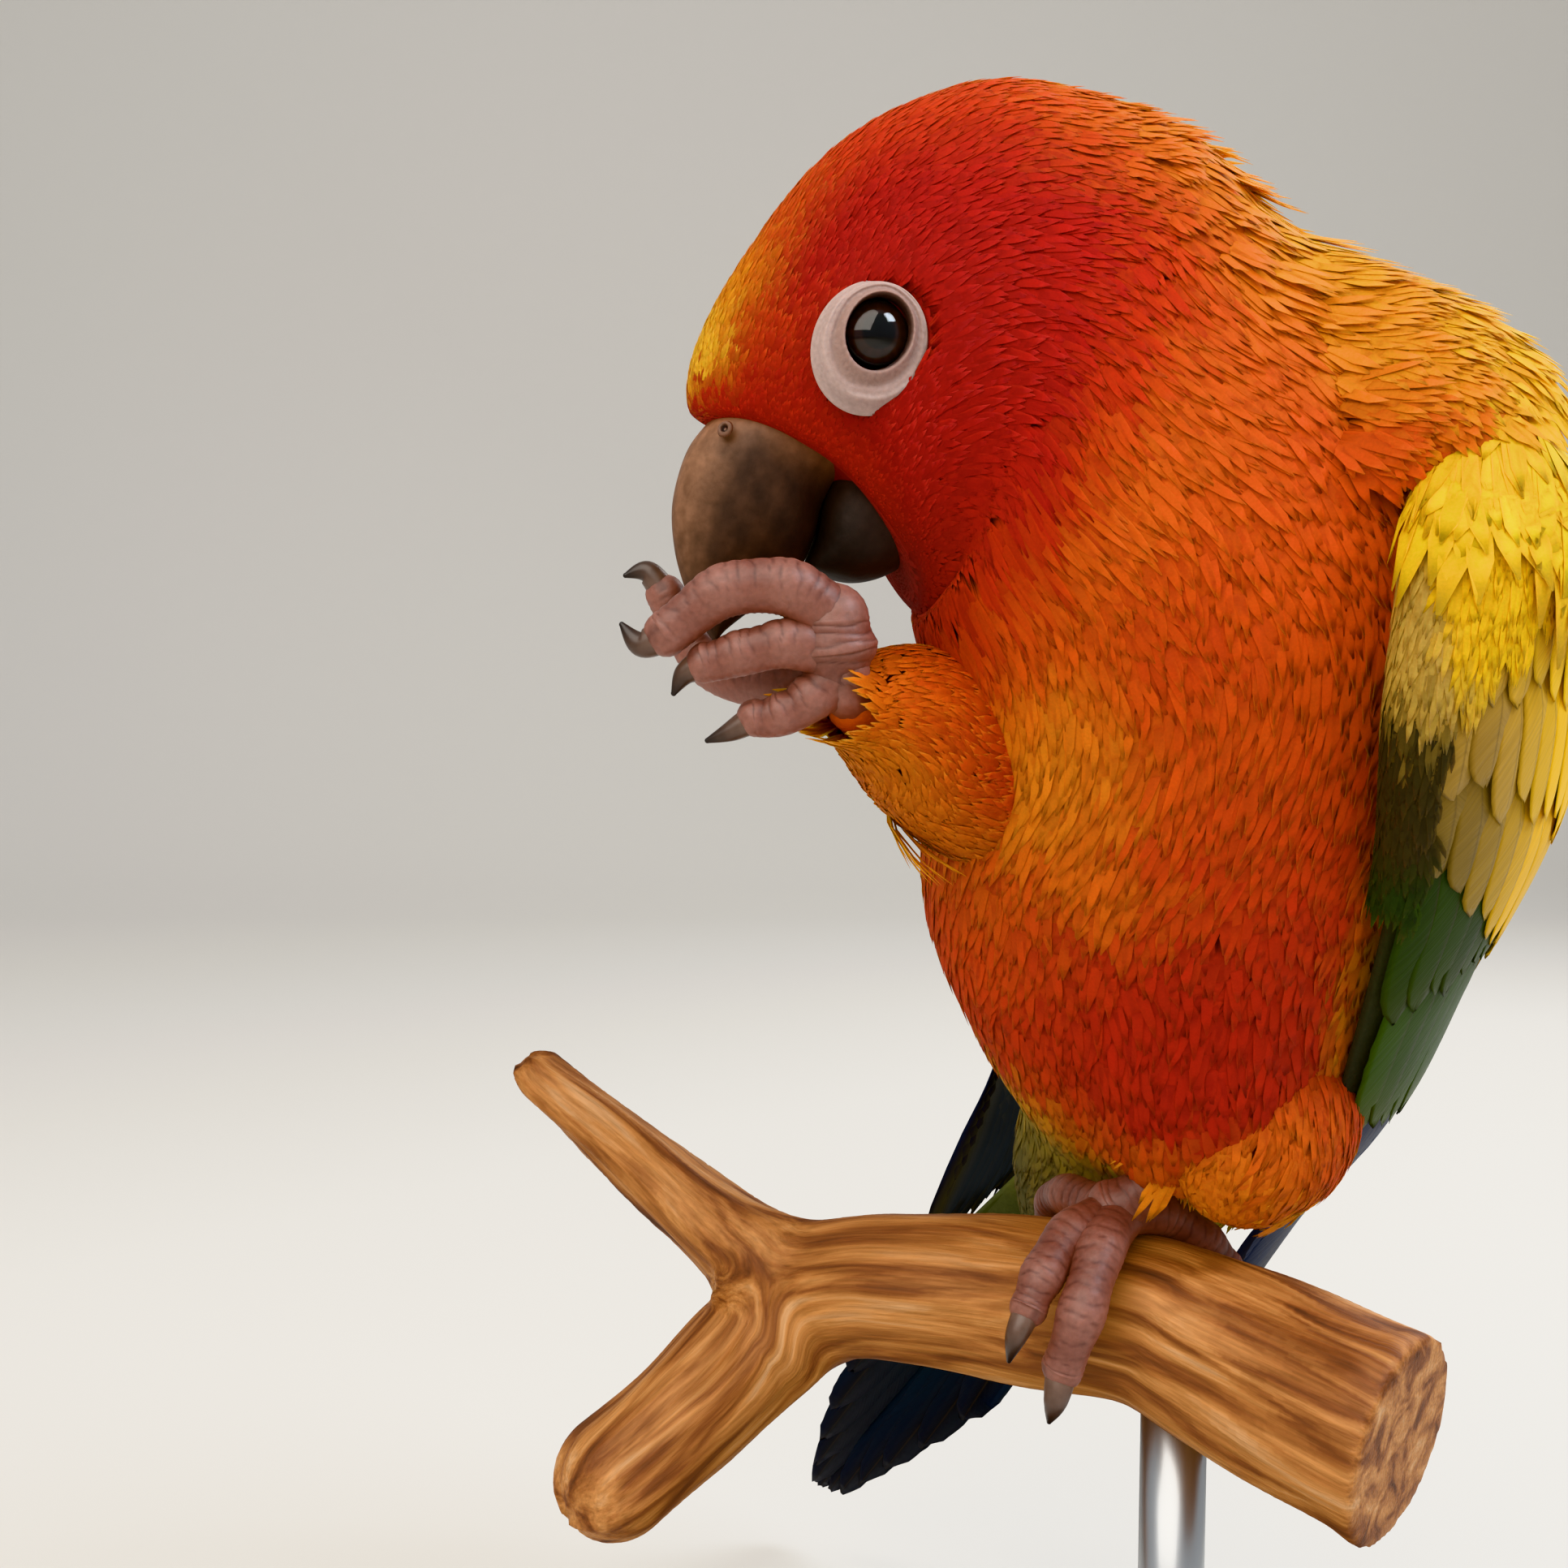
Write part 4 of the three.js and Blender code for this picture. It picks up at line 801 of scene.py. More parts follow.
def claw_part(path, upward):
    """A claw: a smooth curved cone, brown at its root and nearly black at its point."""
    points = round_tube(path, upward, 24, 18)
    flat, faces = closed_tube(points)
    k = np.concatenate([np.repeat(np.linspace(0, 1, len(points)), points.shape[1]), [0, 1]])[:, None]
    return flat, faces, mix(linear("#6e564a"), linear("#1c1412"), ease(0.1, 0.9, k))


def feet():
    """Both feet with their shanks, scales and claws."""
    sets = [("foot_left", LEFT_SHANK, LEFT_TOES, LEFT_CLAWS, LEFT_TOE_UP),
            ("foot_right", RIGHT_SHANK, RIGHT_TOES, RIGHT_CLAWS, RIGHT_TOE_UP)]
    for name, shank, toes, claws, upward in sets:
        points, faces, colour = join_parts([scaly_tube(path, upward) for path in [shank, *toes]])
        placed(build_mesh(name + "_scales", points, faces, SCALES, colour), "foot_scales", name)
        points, faces, colour = join_parts([claw_part(path, upward) for path in claws])
        placed(build_mesh(name + "_claws", points, faces, CLAW, colour), "foot_scales")


# Wings and tail: a blade between a leading and a trailing edge, bowed outwards. Each row of a wing:
# forwards, dorsal and outward place of the leading edge, the same two of the trailing edge, half
# thickness and bow, all in mm
LEFT_WING = [
    [53, 0, 24, 7, 25, 2, 1],
    [45, -10.5, 27.5, 14, 28, 4.4, 2],
    [30, -17.5, 30, 20.5, 31, 4.2, 3],
    [8, -13.5, 31, 22.5, 35, 3.2, 3],
    [-15, -11.5, 30.5, 18.5, 33, 2.2, 2.5],
    [-38, -8.5, 28.5, 14.5, 31, 1.6, 2],
    [-60, -4, 22, 10.5, 24.5, 1.3, 1.5],
    [-82, 0.5, 17.5, 8.5, 20, 1, 1],
    [-102, 3.5, 13.5, 7, 15, 0.7, 0.5],
]
RIGHT_WING = [
    [50, 4, 17, 10, 19, 2, 1],
    [44, 2, 20, 15, 24, 4.4, 2],
    [30, 1, 23, 21, 27, 4.2, 3],
    [8, -8, 27.5, 24, 32, 3.2, 3],
    [-15, -8, 27.5, 24, 33, 2.2, 2.5],
    [-38, -1, 24, 22, 30, 1.6, 2],
    [-57, 2.5, 22.5, 19, 22, 1.3, 1.5],
    [-78, -0.5, 27, 14, 19, 1, 1],
    [-102, -8.5, 32, 6, 22, 0.7, 0.5],
]
LEFT_PRIMARY_END = [6.5, 0.62]  # how far the upper end of the innermost tier runs, and its place across
RIGHT_PRIMARY_END = [7.5, 0.8]
WING_CORE_END = 5.9  # row at which the solid core ends
WING_INNER_DEPTH = 1.7  # of the core on the body's side, in half thicknesses
TAIL_ROOT = np.array([5.5, 21.2, 105.5])
TAIL_TIP = np.array([-37.8, 82.7, 14.2])
TAIL_ACROSS = unit([0.911, 0.04, -0.41])
TAIL_UP = np.array([-0.05, 0.76, 0.64])
TAIL_HALF_WIDTHS = [6, 8.5, 11, 12.5, 13.2, 12.8, 12]
TAIL_THICKNESS = [3.2, 2.6, 1.8, 1.2, 0.9, 0.8, 0.7]
TAIL_BOW = 1
TAIL_CORE_END = 2.6
TAIL_PAIRS = 6
TAIL_SPACING = 0.15  # between neighbouring feathers at the tip, in half widths


def wing_rows(stations, side):
    """Blade rows of a wing: leading edge, trailing edge, outward direction, half thickness, bow."""
    rows = []
    for forward, lead, lead_out, trail, trail_out, thick, bow in stations:
        edges = [*in_trunk(forward, lead, side * lead_out), *in_trunk(forward, trail, side * trail_out)]
        rows.append([*edges, *(side * TRUNK_LEFT), thick, bow])
    return np.array(rows)


def tail_rows():
    """Blade rows of the tail, spread evenly from its root to its tip."""
    last = len(TAIL_HALF_WIDTHS) - 1
    rows = []
    for i, half in enumerate(TAIL_HALF_WIDTHS):
        centre = mix(TAIL_ROOT, TAIL_TIP, i / last)
        edges = [*(centre - half * TAIL_ACROSS), *(centre + half * TAIL_ACROSS)]
        rows.append([*edges, *TAIL_UP, TAIL_THICKNESS[i], TAIL_BOW])
    return np.array(rows)


def blade_frame(rows, u):
    """Centre, direction across, half width, outward direction, half thickness and bow at row u."""
    row = smooth(rows, u)
    lead, trail = row[..., 0:3], row[..., 3:6]
    across = unit(trail - lead)
    outward = unit(row[..., 6:9] - across * dot(row[..., 6:9], across))
    half = np.linalg.norm(trail - lead, axis=-1) / 2
    return (lead + trail) / 2, across, half, outward, row[..., 9], row[..., 10]


def blade_point(rows, u, t, sideways, lift):
    """A point over the blade at row u: t from -1 at the leading to 1 at the trailing edge, sideways
    mm across, lift mm above an outer face that is a flat ellipse plus a parabola of height bow."""
    centre, across, half, outward, thick, bow = blade_frame(rows, u)
    wide = np.clip(t + sideways / half, -1, 1)
    height = thick * np.sqrt(1 - np.minimum(wide * wide, 1)) * 0.8 + bow * (1 - wide * wide) + lift
    return centre + across * (half * t + sideways)[..., None] + outward * height[..., None]


def blade_core(rows, end, ring_count, sides, shrink, inner=1.0):
    """The blade's solid core as rings, shrink mm inside its faces and inner times as deep on the
    body's side, with the row number at each of its points."""
    u = np.linspace(0, end, ring_count)[:, None] * np.ones((1, sides))
    angle = (np.arange(sides) * TURN / sides)[None, :] * np.ones((ring_count, 1))
    centre, across, half, outward, thick, bow = blade_frame(rows, u)
    wide = np.cos(angle)
    deep = np.where(np.sin(angle) < 0, inner, 1.0) * thick - shrink
    lift = deep * np.sin(angle) + bow * (1 - wide * wide)
    return centre + across * ((half - shrink) * wide)[..., None] + outward * lift[..., None], u


# Outlines of a vane: place along it, and width there
VANE_LONG = np.array([[0, 0.5], [0.12, 0.72], [0.35, 0.92], [0.65, 1], [0.85, 0.9], [0.95, 0.6], [1, 0.16]])
VANE_ROUND = np.array([[0, 0.5], [0.2, 0.8], [0.5, 0.98], [0.75, 1], [0.9, 0.82], [0.97, 0.5], [1, 0.2]])


def blade_vanes(rows, tier, rng, under=None):
    """One tier of vanes over a blade. Each runs from its root to its tip, keeps the tier's outline,
    is arched across, tips over its neighbour, and is frayed a little along its edges. q runs along a
    vane, x across it, k along the tier, t across the blade. under is the colour of the underside."""
    steps, columns = tier["form"]
    q, x, below = feather_rings(steps, columns)
    count = tier["count"]
    k = np.linspace(0, 1, count)[:, None]
    root = mix(np.array(tier["root"][0]), np.array(tier["root"][1]), k)
    tip = mix(np.array(tier["tip"][0]), np.array(tier["tip"][1]), k)
    ragged = rng.uniform(-0.5, 0.5, count) * tier["ragged"]
    aside = rng.uniform(-0.5, 0.5, count) * 0.03
    tip = tip + np.stack([ragged, aside], -1)
    width = mix(tier["width"][0], tier["width"][1], k[:, 0]) * rng.uniform(0.94, 1.06, count)
    outline = np.interp(q, tier["outline"][:, 0], tier["outline"][:, 1])
    fray = 1 - rng.uniform(0, 0.05, (count, steps, len(x))) * (np.abs(x) > 0.9)
    notch = rng.uniform(0, 0.035, (count, len(x)))[:, None, :] * (q**6)[None, :, None]
    qq = q[None, :, None] - notch
    u = mix(root[:, 0, None, None], tip[:, 0, None, None], qq)
    t = mix(root[:, 1, None, None], tip[:, 1, None, None], qq)
    sideways = width[:, None, None] / 2 * outline[None, :, None] * x[None, None, :] * fray
    raised = mix(tier["root_lift"], tier["lift"], np.minimum(q * 1.8, 1))[None, :, None]
    arch = tier["arch"] * (1 - x * x)[None, None, :] * outline[None, :, None]
    rib = 0.1 * np.exp(-((x / 0.1) ** 2))[None, None, :] * (1 - below)[None, None, :]
    loose = rng.uniform(-0.08, 0.08, count)[:, None, None] * q[None, :, None]
    lift = raised + loose + tier["tilt"] * x[None, None, :]
    lift = lift + arch + rib - below[None, None, :] * VANE_THICKNESS * mix(1, 0.6, q)[None, :, None]
    points = blade_point(rows, u, t, sideways, lift)
    colour = tier["paint"](q[None, :, None] + 0 * t, x[None, None, :] + 0 * t, k[:, :, None] + 0 * t)
    colour = colour * rng.normal(1, 0.05, (count, 1, 1, 1))
    if under is not None:
        colour = mix(colour, linear(under), below[None, None, :, None])
    shift = VANE_STEP * (np.arange(count) + tier["start"])[:, None, None] + 0 * t
    vane = np.stack([x[None, None, :] + shift, q[None, :, None] + shift], -1)
    return points, colour, vane, feather_faces(count, steps, len(x))


def shades(*stops):
    """A painter whose colour runs along the vane through (place, hex) stops."""
    return lambda q, x, k: ramp(stops, q)


def webbed(outer, inner, tip):
    """A painter with one colour on the outer web, one on the inner web and one at the tip."""
    def paint(q, x, k):
        web = mix(linear(outer), linear(inner), ease(-0.15, 0.35, x)[..., None])
        return mix(web, linear(tip), ease(0.72, 1.0, q)[..., None])
    return paint


def two_way(lead, trail):
    """A painter that blends along the tier from the leading edge's stops to the trailing edge's."""
    return lambda q, x, k: mix(ramp(lead, q), ramp(trail, q), ease(0.1, 0.6, k)[..., None])


# Tiers from the primaries to the smaller coverts: roots and tips at both ends of the tier as row and
# place across, widths and heights in mm, rings and points of a vane, and its painter. The innermost
# primary's tip is each wing's own.
WING_TIERS = [
    {"count": 10, "root": [[3.1, -0.78], [3.4, 0.55]], "tip": [[7.95, -0.45], None], "width": [8.4, 9.4],
     "root_lift": -1.2, "lift": -0.2, "tilt": -0.28, "arch": 0.35, "ragged": 0.05, "outline": VANE_LONG,
     "form": (30, 9), "paint": webbed("#27304a", "#131519", "#101114")},
    {"count": 9, "root": [[2.7, -0.7], [2.7, 0.82]], "tip": [[4.75, -0.66], [5.15, 0.88]],
     "width": [8.4, 8.4], "root_lift": -1.0, "lift": 0.4, "tilt": -0.32, "arch": 0.35, "ragged": 0.16,
     "outline": VANE_LONG, "form": (26, 9), "paint": webbed("#2c440c", "#1a2807", "#3c4c14")},
    {"count": 7, "root": [[2.2, -0.84], [2.5, 0.1]], "tip": [[3.85, -0.84], [3.8, 0.1]], "width": [6.6, 7],
     "root_lift": -0.9, "lift": 0.8, "tilt": -0.32, "arch": 0.35, "ragged": 0.16, "outline": VANE_ROUND,
     "form": (18, 9), "paint": webbed("#263a0c", "#172307", "#303f12")},
    # In the three covert tiers the leading edge's stops are tan and olive: their yellow darkened as painted
    # shade.
    {"count": 11, "root": [[1.9, -0.86], [2.3, 0.86]], "tip": [[2.95, -0.86], [4.2, 0.9]],
     "width": [6.4, 7.2], "root_lift": -0.9, "lift": 1.1, "tilt": -0.32, "arch": 0.4, "ragged": 0.2,
     "outline": VANE_ROUND, "form": (18, 9),
     "paint": two_way([(0, "#86682c"), (1, "#7a6530")], [(0, "#d9a41a"), (1, "#e6b41a")])},
    {"count": 11, "root": [[1.3, -0.88], [1.6, 0.88]], "tip": [[2.4, -0.88], [3.35, 0.92]], "width": [6, 6.6],
     "root_lift": -0.9, "lift": 1.4, "tilt": -0.32, "arch": 0.4, "ragged": 0.2, "outline": VANE_ROUND,
     "form": (16, 9), "paint": two_way([(0, "#a07a34"), (1, "#96783a")], [(0, "#e0ab18"), (1, "#efbe1c")])},
    {"count": 11, "root": [[0.8, -0.9], [0.9, 0.9]], "tip": [[1.8, -0.92], [2.5, 0.94]], "width": [5.2, 5.8],
     "root_lift": -0.9, "lift": 1.5, "tilt": -0.3, "arch": 0.4, "ragged": 0.2, "outline": VANE_ROUND,
     "form": (14, 9), "paint": two_way([(0, "#b98f34"), (1, "#b08a38")], [(0, "#e6b31a"), (1, "#f4c61e")])},
]
VANE_THICKNESS = 0.3
SHOULDER = 0.4  # in rows: how far the small feathers close over the wing's upper end
SHOULDER_HEIGHT = 3.5  # mm
SHOULDER_FEATHER = (6.0, 1.9, 1.3)  # length, width and depth of coat in mm
SCAPULAR = (11.0, 3.6, 1.6)
SCAPULAR_LIFT = 0.9


def wing_surface(rows):
    """The outer form of a folded wing, for the small feathers of its shoulder."""
    def surface(u, angle, lift):
        """The core's lens at row u, half ellipse outside and a deeper one inside, bowed; where u runs
        below nought it closes as a dome. lift stands along the lens's own normal."""
        over = np.clip(-u / SHOULDER, 0, 0.97)
        shrink = np.sqrt(1 - over * over)
        centre, across, half, outward, thick, bow = blade_frame(rows, np.maximum(u, 0))
        first = blade_frame(rows, 0.0 * u)[0]
        startward = unit(first - blade_frame(rows, 0.0 * u + 0.5)[0])
        wide, high = np.cos(angle), np.sin(angle)
        deep = np.where(high < 0, WING_INNER_DEPTH, 1.0) * thick
        height = (deep * high + bow * (1 - wide * wide)) * shrink
        normal = unit(across * (wide / half)[..., None] + outward * (high / deep)[..., None])
        raised = lift + 1.7 * ease(0.2, 1.3, u)
        flat = centre + across * (half * wide * shrink)[..., None] + outward * height[..., None]
        return flat + startward * (SHOULDER_HEIGHT * over)[..., None] + normal * raised[..., None]

    return surface


def shoulder_coat(name, rows, start, rng):
    """Small soft feathers over the shoulder and down the leading edge: yellow, darkened to tan in front as
    painted shade, then dark along the edge, and green last."""
    surface = wing_surface(rows)
    long, wide, _ = SHOULDER_FEATHER
    u, angle = scatter(surface, (start + 0.12, 3.0), even(long, wide), 90, 72)
    degrees = np.degrees(angle) % 360
    end = mix(1.15, 1.7, ease(100, 165, degrees)) + 0.12 * np.sin(angle * 17)
    kept = (u < end) | ((degrees > 162) & (degrees < 215))
    u, angle, end = u[kept], angle[kept], end[kept]
    degrees = degrees[kept] + rng.normal(0, 4, kept.sum())
    soft = rng.normal(0, 0.08, len(u))
    front = mix(180, 132, np.clip((u - 0.9) / 1.3, 0, 1))
    # Painted shade: the yellow darkened to tan towards the leading edge.
    tan = 0.85 * ease(front - 9, front + 14, degrees) * ease(0.4, 0.9, u + soft)
    dark = np.maximum(ease(163, 174, degrees), u > end) * ease(1.6, 1.95, u + soft)
    colour = ramp([(0, "#f0b022"), (0.5, "#f0b41e"), (3, "#e8ae1c")], u)
    colour = mix(colour, linear("#b8914c"), tan[:, None])
    colour = mix(colour, linear("#1e1d12"), 0.95 * dark[:, None])
    colour = mix(colour, linear("#22300f"), ease(2.5, 2.9, u)[:, None])
    placed(coat_feathers(name, surface, u, angle, SHOULDER_FEATHER, colour, rng), "wing_feathers")


def scapulars(name, rows, rng):
    """Long yellow feathers that close over the wing's upper end, a little above its coat."""
    surface = wing_surface(rows)
    long, wide, deep = SCAPULAR
    above = lambda u, angle, lift: surface(u, angle, lift + SCAPULAR_LIFT)
    u, angle = scatter(above, (-0.22, 0.42), even(long, wide, 1.2), 30, 48)
    sizes = (long * rng.uniform(0.75, 1.1, len(u)), wide, deep)
    colour = mix(linear("#f7c727"), linear("#f0b02a"), rng.random((len(u), 1)))
    yaw = rng.normal(0, 0.12, len(u))
    placed(coat_feathers(name, above, u, angle, sizes, colour, rng, yaw=yaw), "wing_feathers")


def vane_piece(name, sets, slot, *nodes):
    """Joins tiers of vanes into one piece. In its bake map each vane has a cell of its own."""
    points, colours, vanes, quads, caps, start = [], [], [], [], [], 0
    for part_points, part_colour, part_vane, part_faces in sets:
        points.append(part_points.reshape(-1, 3))
        colours.append(part_colour.reshape(-1, 3))
        vanes.append(part_vane.reshape(-1, 2))
        quads.append(part_faces[0] + start)
        caps.append(part_faces[1])
        start += len(points[-1])
    offsets = np.cumsum([0] + [len(block) for block in points])
    blocks = [np.concatenate(quads)] + [cap + offset for cap, offset in zip(caps, offsets)]
    vane = np.concatenate(vanes)
    number = np.round(vane[:, 0] / VANE_STEP)
    cells = int(np.ceil(np.sqrt(number.max() + 1)))
    place = vane - VANE_STEP * number[:, None]
    local = np.stack([place[:, 0] * 0.5 + 0.5, place[:, 1]], -1)
    cell = np.stack([number % cells, number // cells], -1)
    bake = (cell + 0.08 + 0.84 * np.clip(local, 0, 1)) / cells
    layers = {"OFBake": bake, "Vane": vane}
    piece = build_mesh(name, np.concatenate(points), blocks, QUILL, np.concatenate(colours), layers)
    return placed(piece, slot, *nodes)


def wing(name, stations, primary_end, side, shoulder, seed):
    """A folded wing: its core, tiers from the primaries out to the smaller coverts, and the coat of
    its shoulder, from the row where the wing leaves the body. Where that lies before the first row,
    scapulars close over the wing's upper end."""
    rows = wing_rows(stations, side)
    rng = np.random.default_rng(seed)
    core, u = blade_core(rows, WING_CORE_END, 90, 48, 0.5, WING_INNER_DEPTH)
    colour = ramp([(0, "#d8a41c"), (1.5, "#8c7020"), (2.2, "#2c3012"), (6, "#1c1d20")], u)
    placed(tube_piece(name + "_core", core, DOWN, colour), "wing_feathers")
    sets, start = [], 0
    for tier in WING_TIERS:
        tip = [tier["tip"][0], tier["tip"][1] or primary_end]
        under = None if tier["tip"][1] else "#4a4638"
        sets.append(blade_vanes(rows, {**tier, "tip": tip, "start": start}, rng, under))
        start += tier["count"]
    vane_piece(name + "_feathers", sets, "wing_feathers", name)
    shoulder_coat(name + "_shoulder", rows, shoulder, rng)
    if shoulder < 0:
        scapulars(name + "_scapulars", rows, rng)


def tail():
    """Twelve graduated tail feathers, the middle pair longest and uppermost, on a short core."""
    rows = tail_rows()
    rng = np.random.default_rng(41)
    core, u = blade_core(rows, TAIL_CORE_END, 40, 40, 0.4)
    colour = ramp([(0, "#8f8a24"), (1.2, "#4c5230"), (2.6, "#1c1e22")], u)
    placed(tube_piece("tail_core", core, DOWN, colour), "tail_feathers")
    paint = shades((0, "#55591f"), (0.3, "#2c3a24"), (0.6, "#1a2836"), (1, "#12182a"))
    last = len(TAIL_HALF_WIDTHS) - 1
    sets = []
    for pair in range(TAIL_PAIRS):
        for side in (-1, 1):
            place = side * (pair + 0.5) * TAIL_SPACING
            end = last * (1 - 0.011 * pair * (pair + 1))
            tier = {"count": 1, "root": [[0.9, place * 0.7]] * 2, "tip": [[end, place]] * 2,
                    "width": [8, 8], "root_lift": -1.4, "lift": -0.35 * pair, "tilt": side * -0.12,
                    "arch": 0.3, "ragged": 0.02, "outline": VANE_LONG, "form": (40, 9),
                    "start": len(sets), "paint": paint}
            sets.append(blade_vanes(rows, tier, rng, "#17181d"))
    vane_piece("tail_feathers", sets, "tail_feathers", "tail")


# Bill: top edge, bottom edge and half width in the head's middle plane
UPPER_BILL = [
    [7, 3.5, 0, -8, 6.6],
    [12.5, 3, 5, -9.2, 7],
    [16.9, 1.8, 8.8, -11.4, 7.1],
    [20.1, 0, 11.6, -14.4, 6.5],
    [23.7, -3.9, 14.4, -16.6, 5.3],
    [25.8, -8.3, 17.6, -17.8, 4.1],
    [26.8, -12.5, 21.5, -18.2, 2.7],
    [27.2, -16, 25, -18.8, 1.4],
    [26.8, -19.2, 26.4, -19.4, 0.4],
]
LOWER_BILL = [
    [2, -9, 0.8, -20.4, 6],
    [6, -9, 2.6, -21.6, 6.4],
    [9.2, -11.4, 6.6, -21.8, 6],
    [11.2, -14.2, 9.9, -20.8, 4.9],
    [13.2, -16, 12.3, -18.8, 3.2],
    [14, -16.6, 13.4, -17.4, 1.5],
]
NOSTRIL_PLACE = np.array([15.6, -0.2, 5.6])
NOSTRIL_RADIUS = 0.7
NOSTRIL_RISE = 0.44
NOSTRIL_PROFILE = [
    [1.35, -0.5], [1.2, 0.05], [1.0, 0.3], [0.72, 0.28], [0.55, 0.0], [0.45, -0.4], [0.1, -0.55],
]  # radius and height, in the two measures above


def bill_rings(sections, rows, count, squareness):
    """Bill sections as rings: an ellipse between the top and bottom edge, whose sideways part is the
    sine raised to squareness, a little under one, so that the sides are flatter than the ridge. The
    rings come with their section numbers and angles."""
    u = np.linspace(0, len(sections) - 1, rows)
    cut = smooth(sections, u)
    top, low = in_head(cut[:, 0], cut[:, 1]), in_head(cut[:, 2], cut[:, 3])
    spine = unit(top - low)[:, None, :]
    depth = (np.linalg.norm(top - low, axis=1) / 2)[:, None, None]
    angle = ((np.arange(count) + 0.5) * TURN / count)[None, :, None]
    flat = np.sign(np.sin(angle)) * np.abs(np.sin(angle)) ** squareness
    middle = ((top + low) / 2)[:, None, :]
    aside = HEAD_LEFT * cut[:, 4][:, None, None] * flat
    return middle + spine * depth * np.cos(angle) + aside, u, angle[..., 0]


def bill():
    """Upper and lower bill, and the nostrils in the cere."""
    points, u, angle = bill_rings(UPPER_BILL, 90, 64, 0.85)
    along = (u / (len(UPPER_BILL) - 1))[:, None] * np.ones_like(angle)
    # Painted highlight: the ridge lighter along the top, fading towards the tip.
    ridge = ease(0.2, 0.95, np.cos(angle)) * ease(1.0, 0.3, along)
    streak = 0.5 + 0.25 * np.sin(17 * angle + 6 * along) + 0.25 * np.sin(46 * along + 3 * np.sin(2 * angle))
    base = ease(0.3, 0.1, along + 0.03 * streak)
    # Painted shade: the underside darker, except at the base.
    beneath = ease(0.1, 0.75, -np.cos(angle)) * (1 - base)
    colour = mix(linear("#33251f"), linear("#4a352b"), streak[..., None])
    colour = mix(colour, linear("#8c664e"), (ridge * (0.7 + 0.3 * streak))[..., None])
    colour = mix(colour, linear("#94694f"), (0.85 * base)[..., None])
    colour = mix(colour, linear("#1f1614"), (0.75 * beneath)[..., None])
    placed(tube_piece("bill_upper_horn", points, HORN, colour), "bill_horn", "bill_upper")
    points, u, angle = bill_rings(LOWER_BILL, 60, 56, 0.9)
    along = (u / (len(LOWER_BILL) - 1))[:, None] * np.ones_like(angle)
    colour = mix(linear("#3a2e2a"), linear("#1e1816"), ease(0.0, 0.6, along)[..., None])
    placed(tube_piece("bill_lower_horn", points, HORN, colour), "bill_horn_dark", "bill_lower")
    parts = []
    for side in (1, -1):
        centre = in_head(NOSTRIL_PLACE[0], NOSTRIL_PLACE[1], side * NOSTRIL_PLACE[2])
        out = unit(0.75 * side * HEAD_LEFT + 0.35 * HEAD_FORWARD + 0.5 * HEAD_UP)
        first = unit(HEAD_FORWARD - out * (HEAD_FORWARD @ out))
        parts.append(nostril(centre + out * 0.95, out, first, np.cross(out, first)))
    points, faces, colour = join_parts(parts)
    placed(build_mesh("nostrils", points, faces, BARE_SKIN, colour), "bill_horn")


def nostril(centre, out, first, second):
    """A low rim round a pit painted dark as shade: rings from the outer foot over the rim and down into the
    pit.
    """
    count = 24
    angle = np.arange(count) * TURN / count
    ring = first * np.cos(angle)[:, None] + second * np.sin(angle)[:, None]
    points = np.array([
        centre + ring * NOSTRIL_RADIUS * radius + out * NOSTRIL_RISE * height
        for radius, height in NOSTRIL_PROFILE
    ])
    flat, faces = closed_tube(points)
    # Painted shade: darker down into the pit.
    depth = np.array([0, 0, 0, 0.1, 0.7, 1, 1])[:, None, None] * np.ones((1, count, 1))
    return flat, faces, capped(mix(linear("#6e5040"), linear("#1a0d0a"), depth))


def eyes():
    """Each eye: a dark ball with a brown iris, a clear cornea over it, and the bare ring of skin."""
    spokes = 48
    angle = (np.arange(spokes) * TURN / spokes)[None, :, None]
    around = HEAD_FORWARD * np.cos(angle) + HEAD_UP * np.sin(angle)
    for name, side in (("left", 1), ("right", -1)):
        centre = in_head(*EYE_PLACE, side * EYE_OUT)
        out = side * HEAD_LEFT
        tilt = np.concatenate([np.linspace(0.02, 0.9, 40), np.linspace(0.95, np.pi - 0.02, 30)])
        tilt = tilt[:, None, None]
        ball = centre + EYE_RADIUS * BALL_SIZE * (out * np.cos(tilt) + around * np.sin(tilt))
        reach = EYE_RADIUS * np.sin(tilt[..., 0]) * np.ones((1, spokes))
        in_front = tilt[..., 0] <= 1.2
        iris = linear("#2e150c") * (0.75 + 0.25 * np.sin(angle * 16))
        band = ease(*PUPIL_EDGE, reach) * ease(*IRIS_EDGE, reach) * in_front
        colour = mix(linear("#050404"), iris, band[..., None])
        placed(tube_piece(f"eye_{name}_ball", ball, IRIS, colour), "eye", f"eye_{name}")
        dome = np.concatenate([np.linspace(0.02, 0.82, 24), np.linspace(0.8, 0.02, 12)])[:, None, None]
        radius = EYE_RADIUS * np.where(np.arange(36) < 24, 1.0, CORNEA_BACK)[:, None, None]
        clear = centre + radius * (out * np.cos(dome) + around * np.sin(dome))
        placed(tube_piece(f"eye_{name}_cornea", clear, CORNEA), "eye")
        eye_ring(name, side)


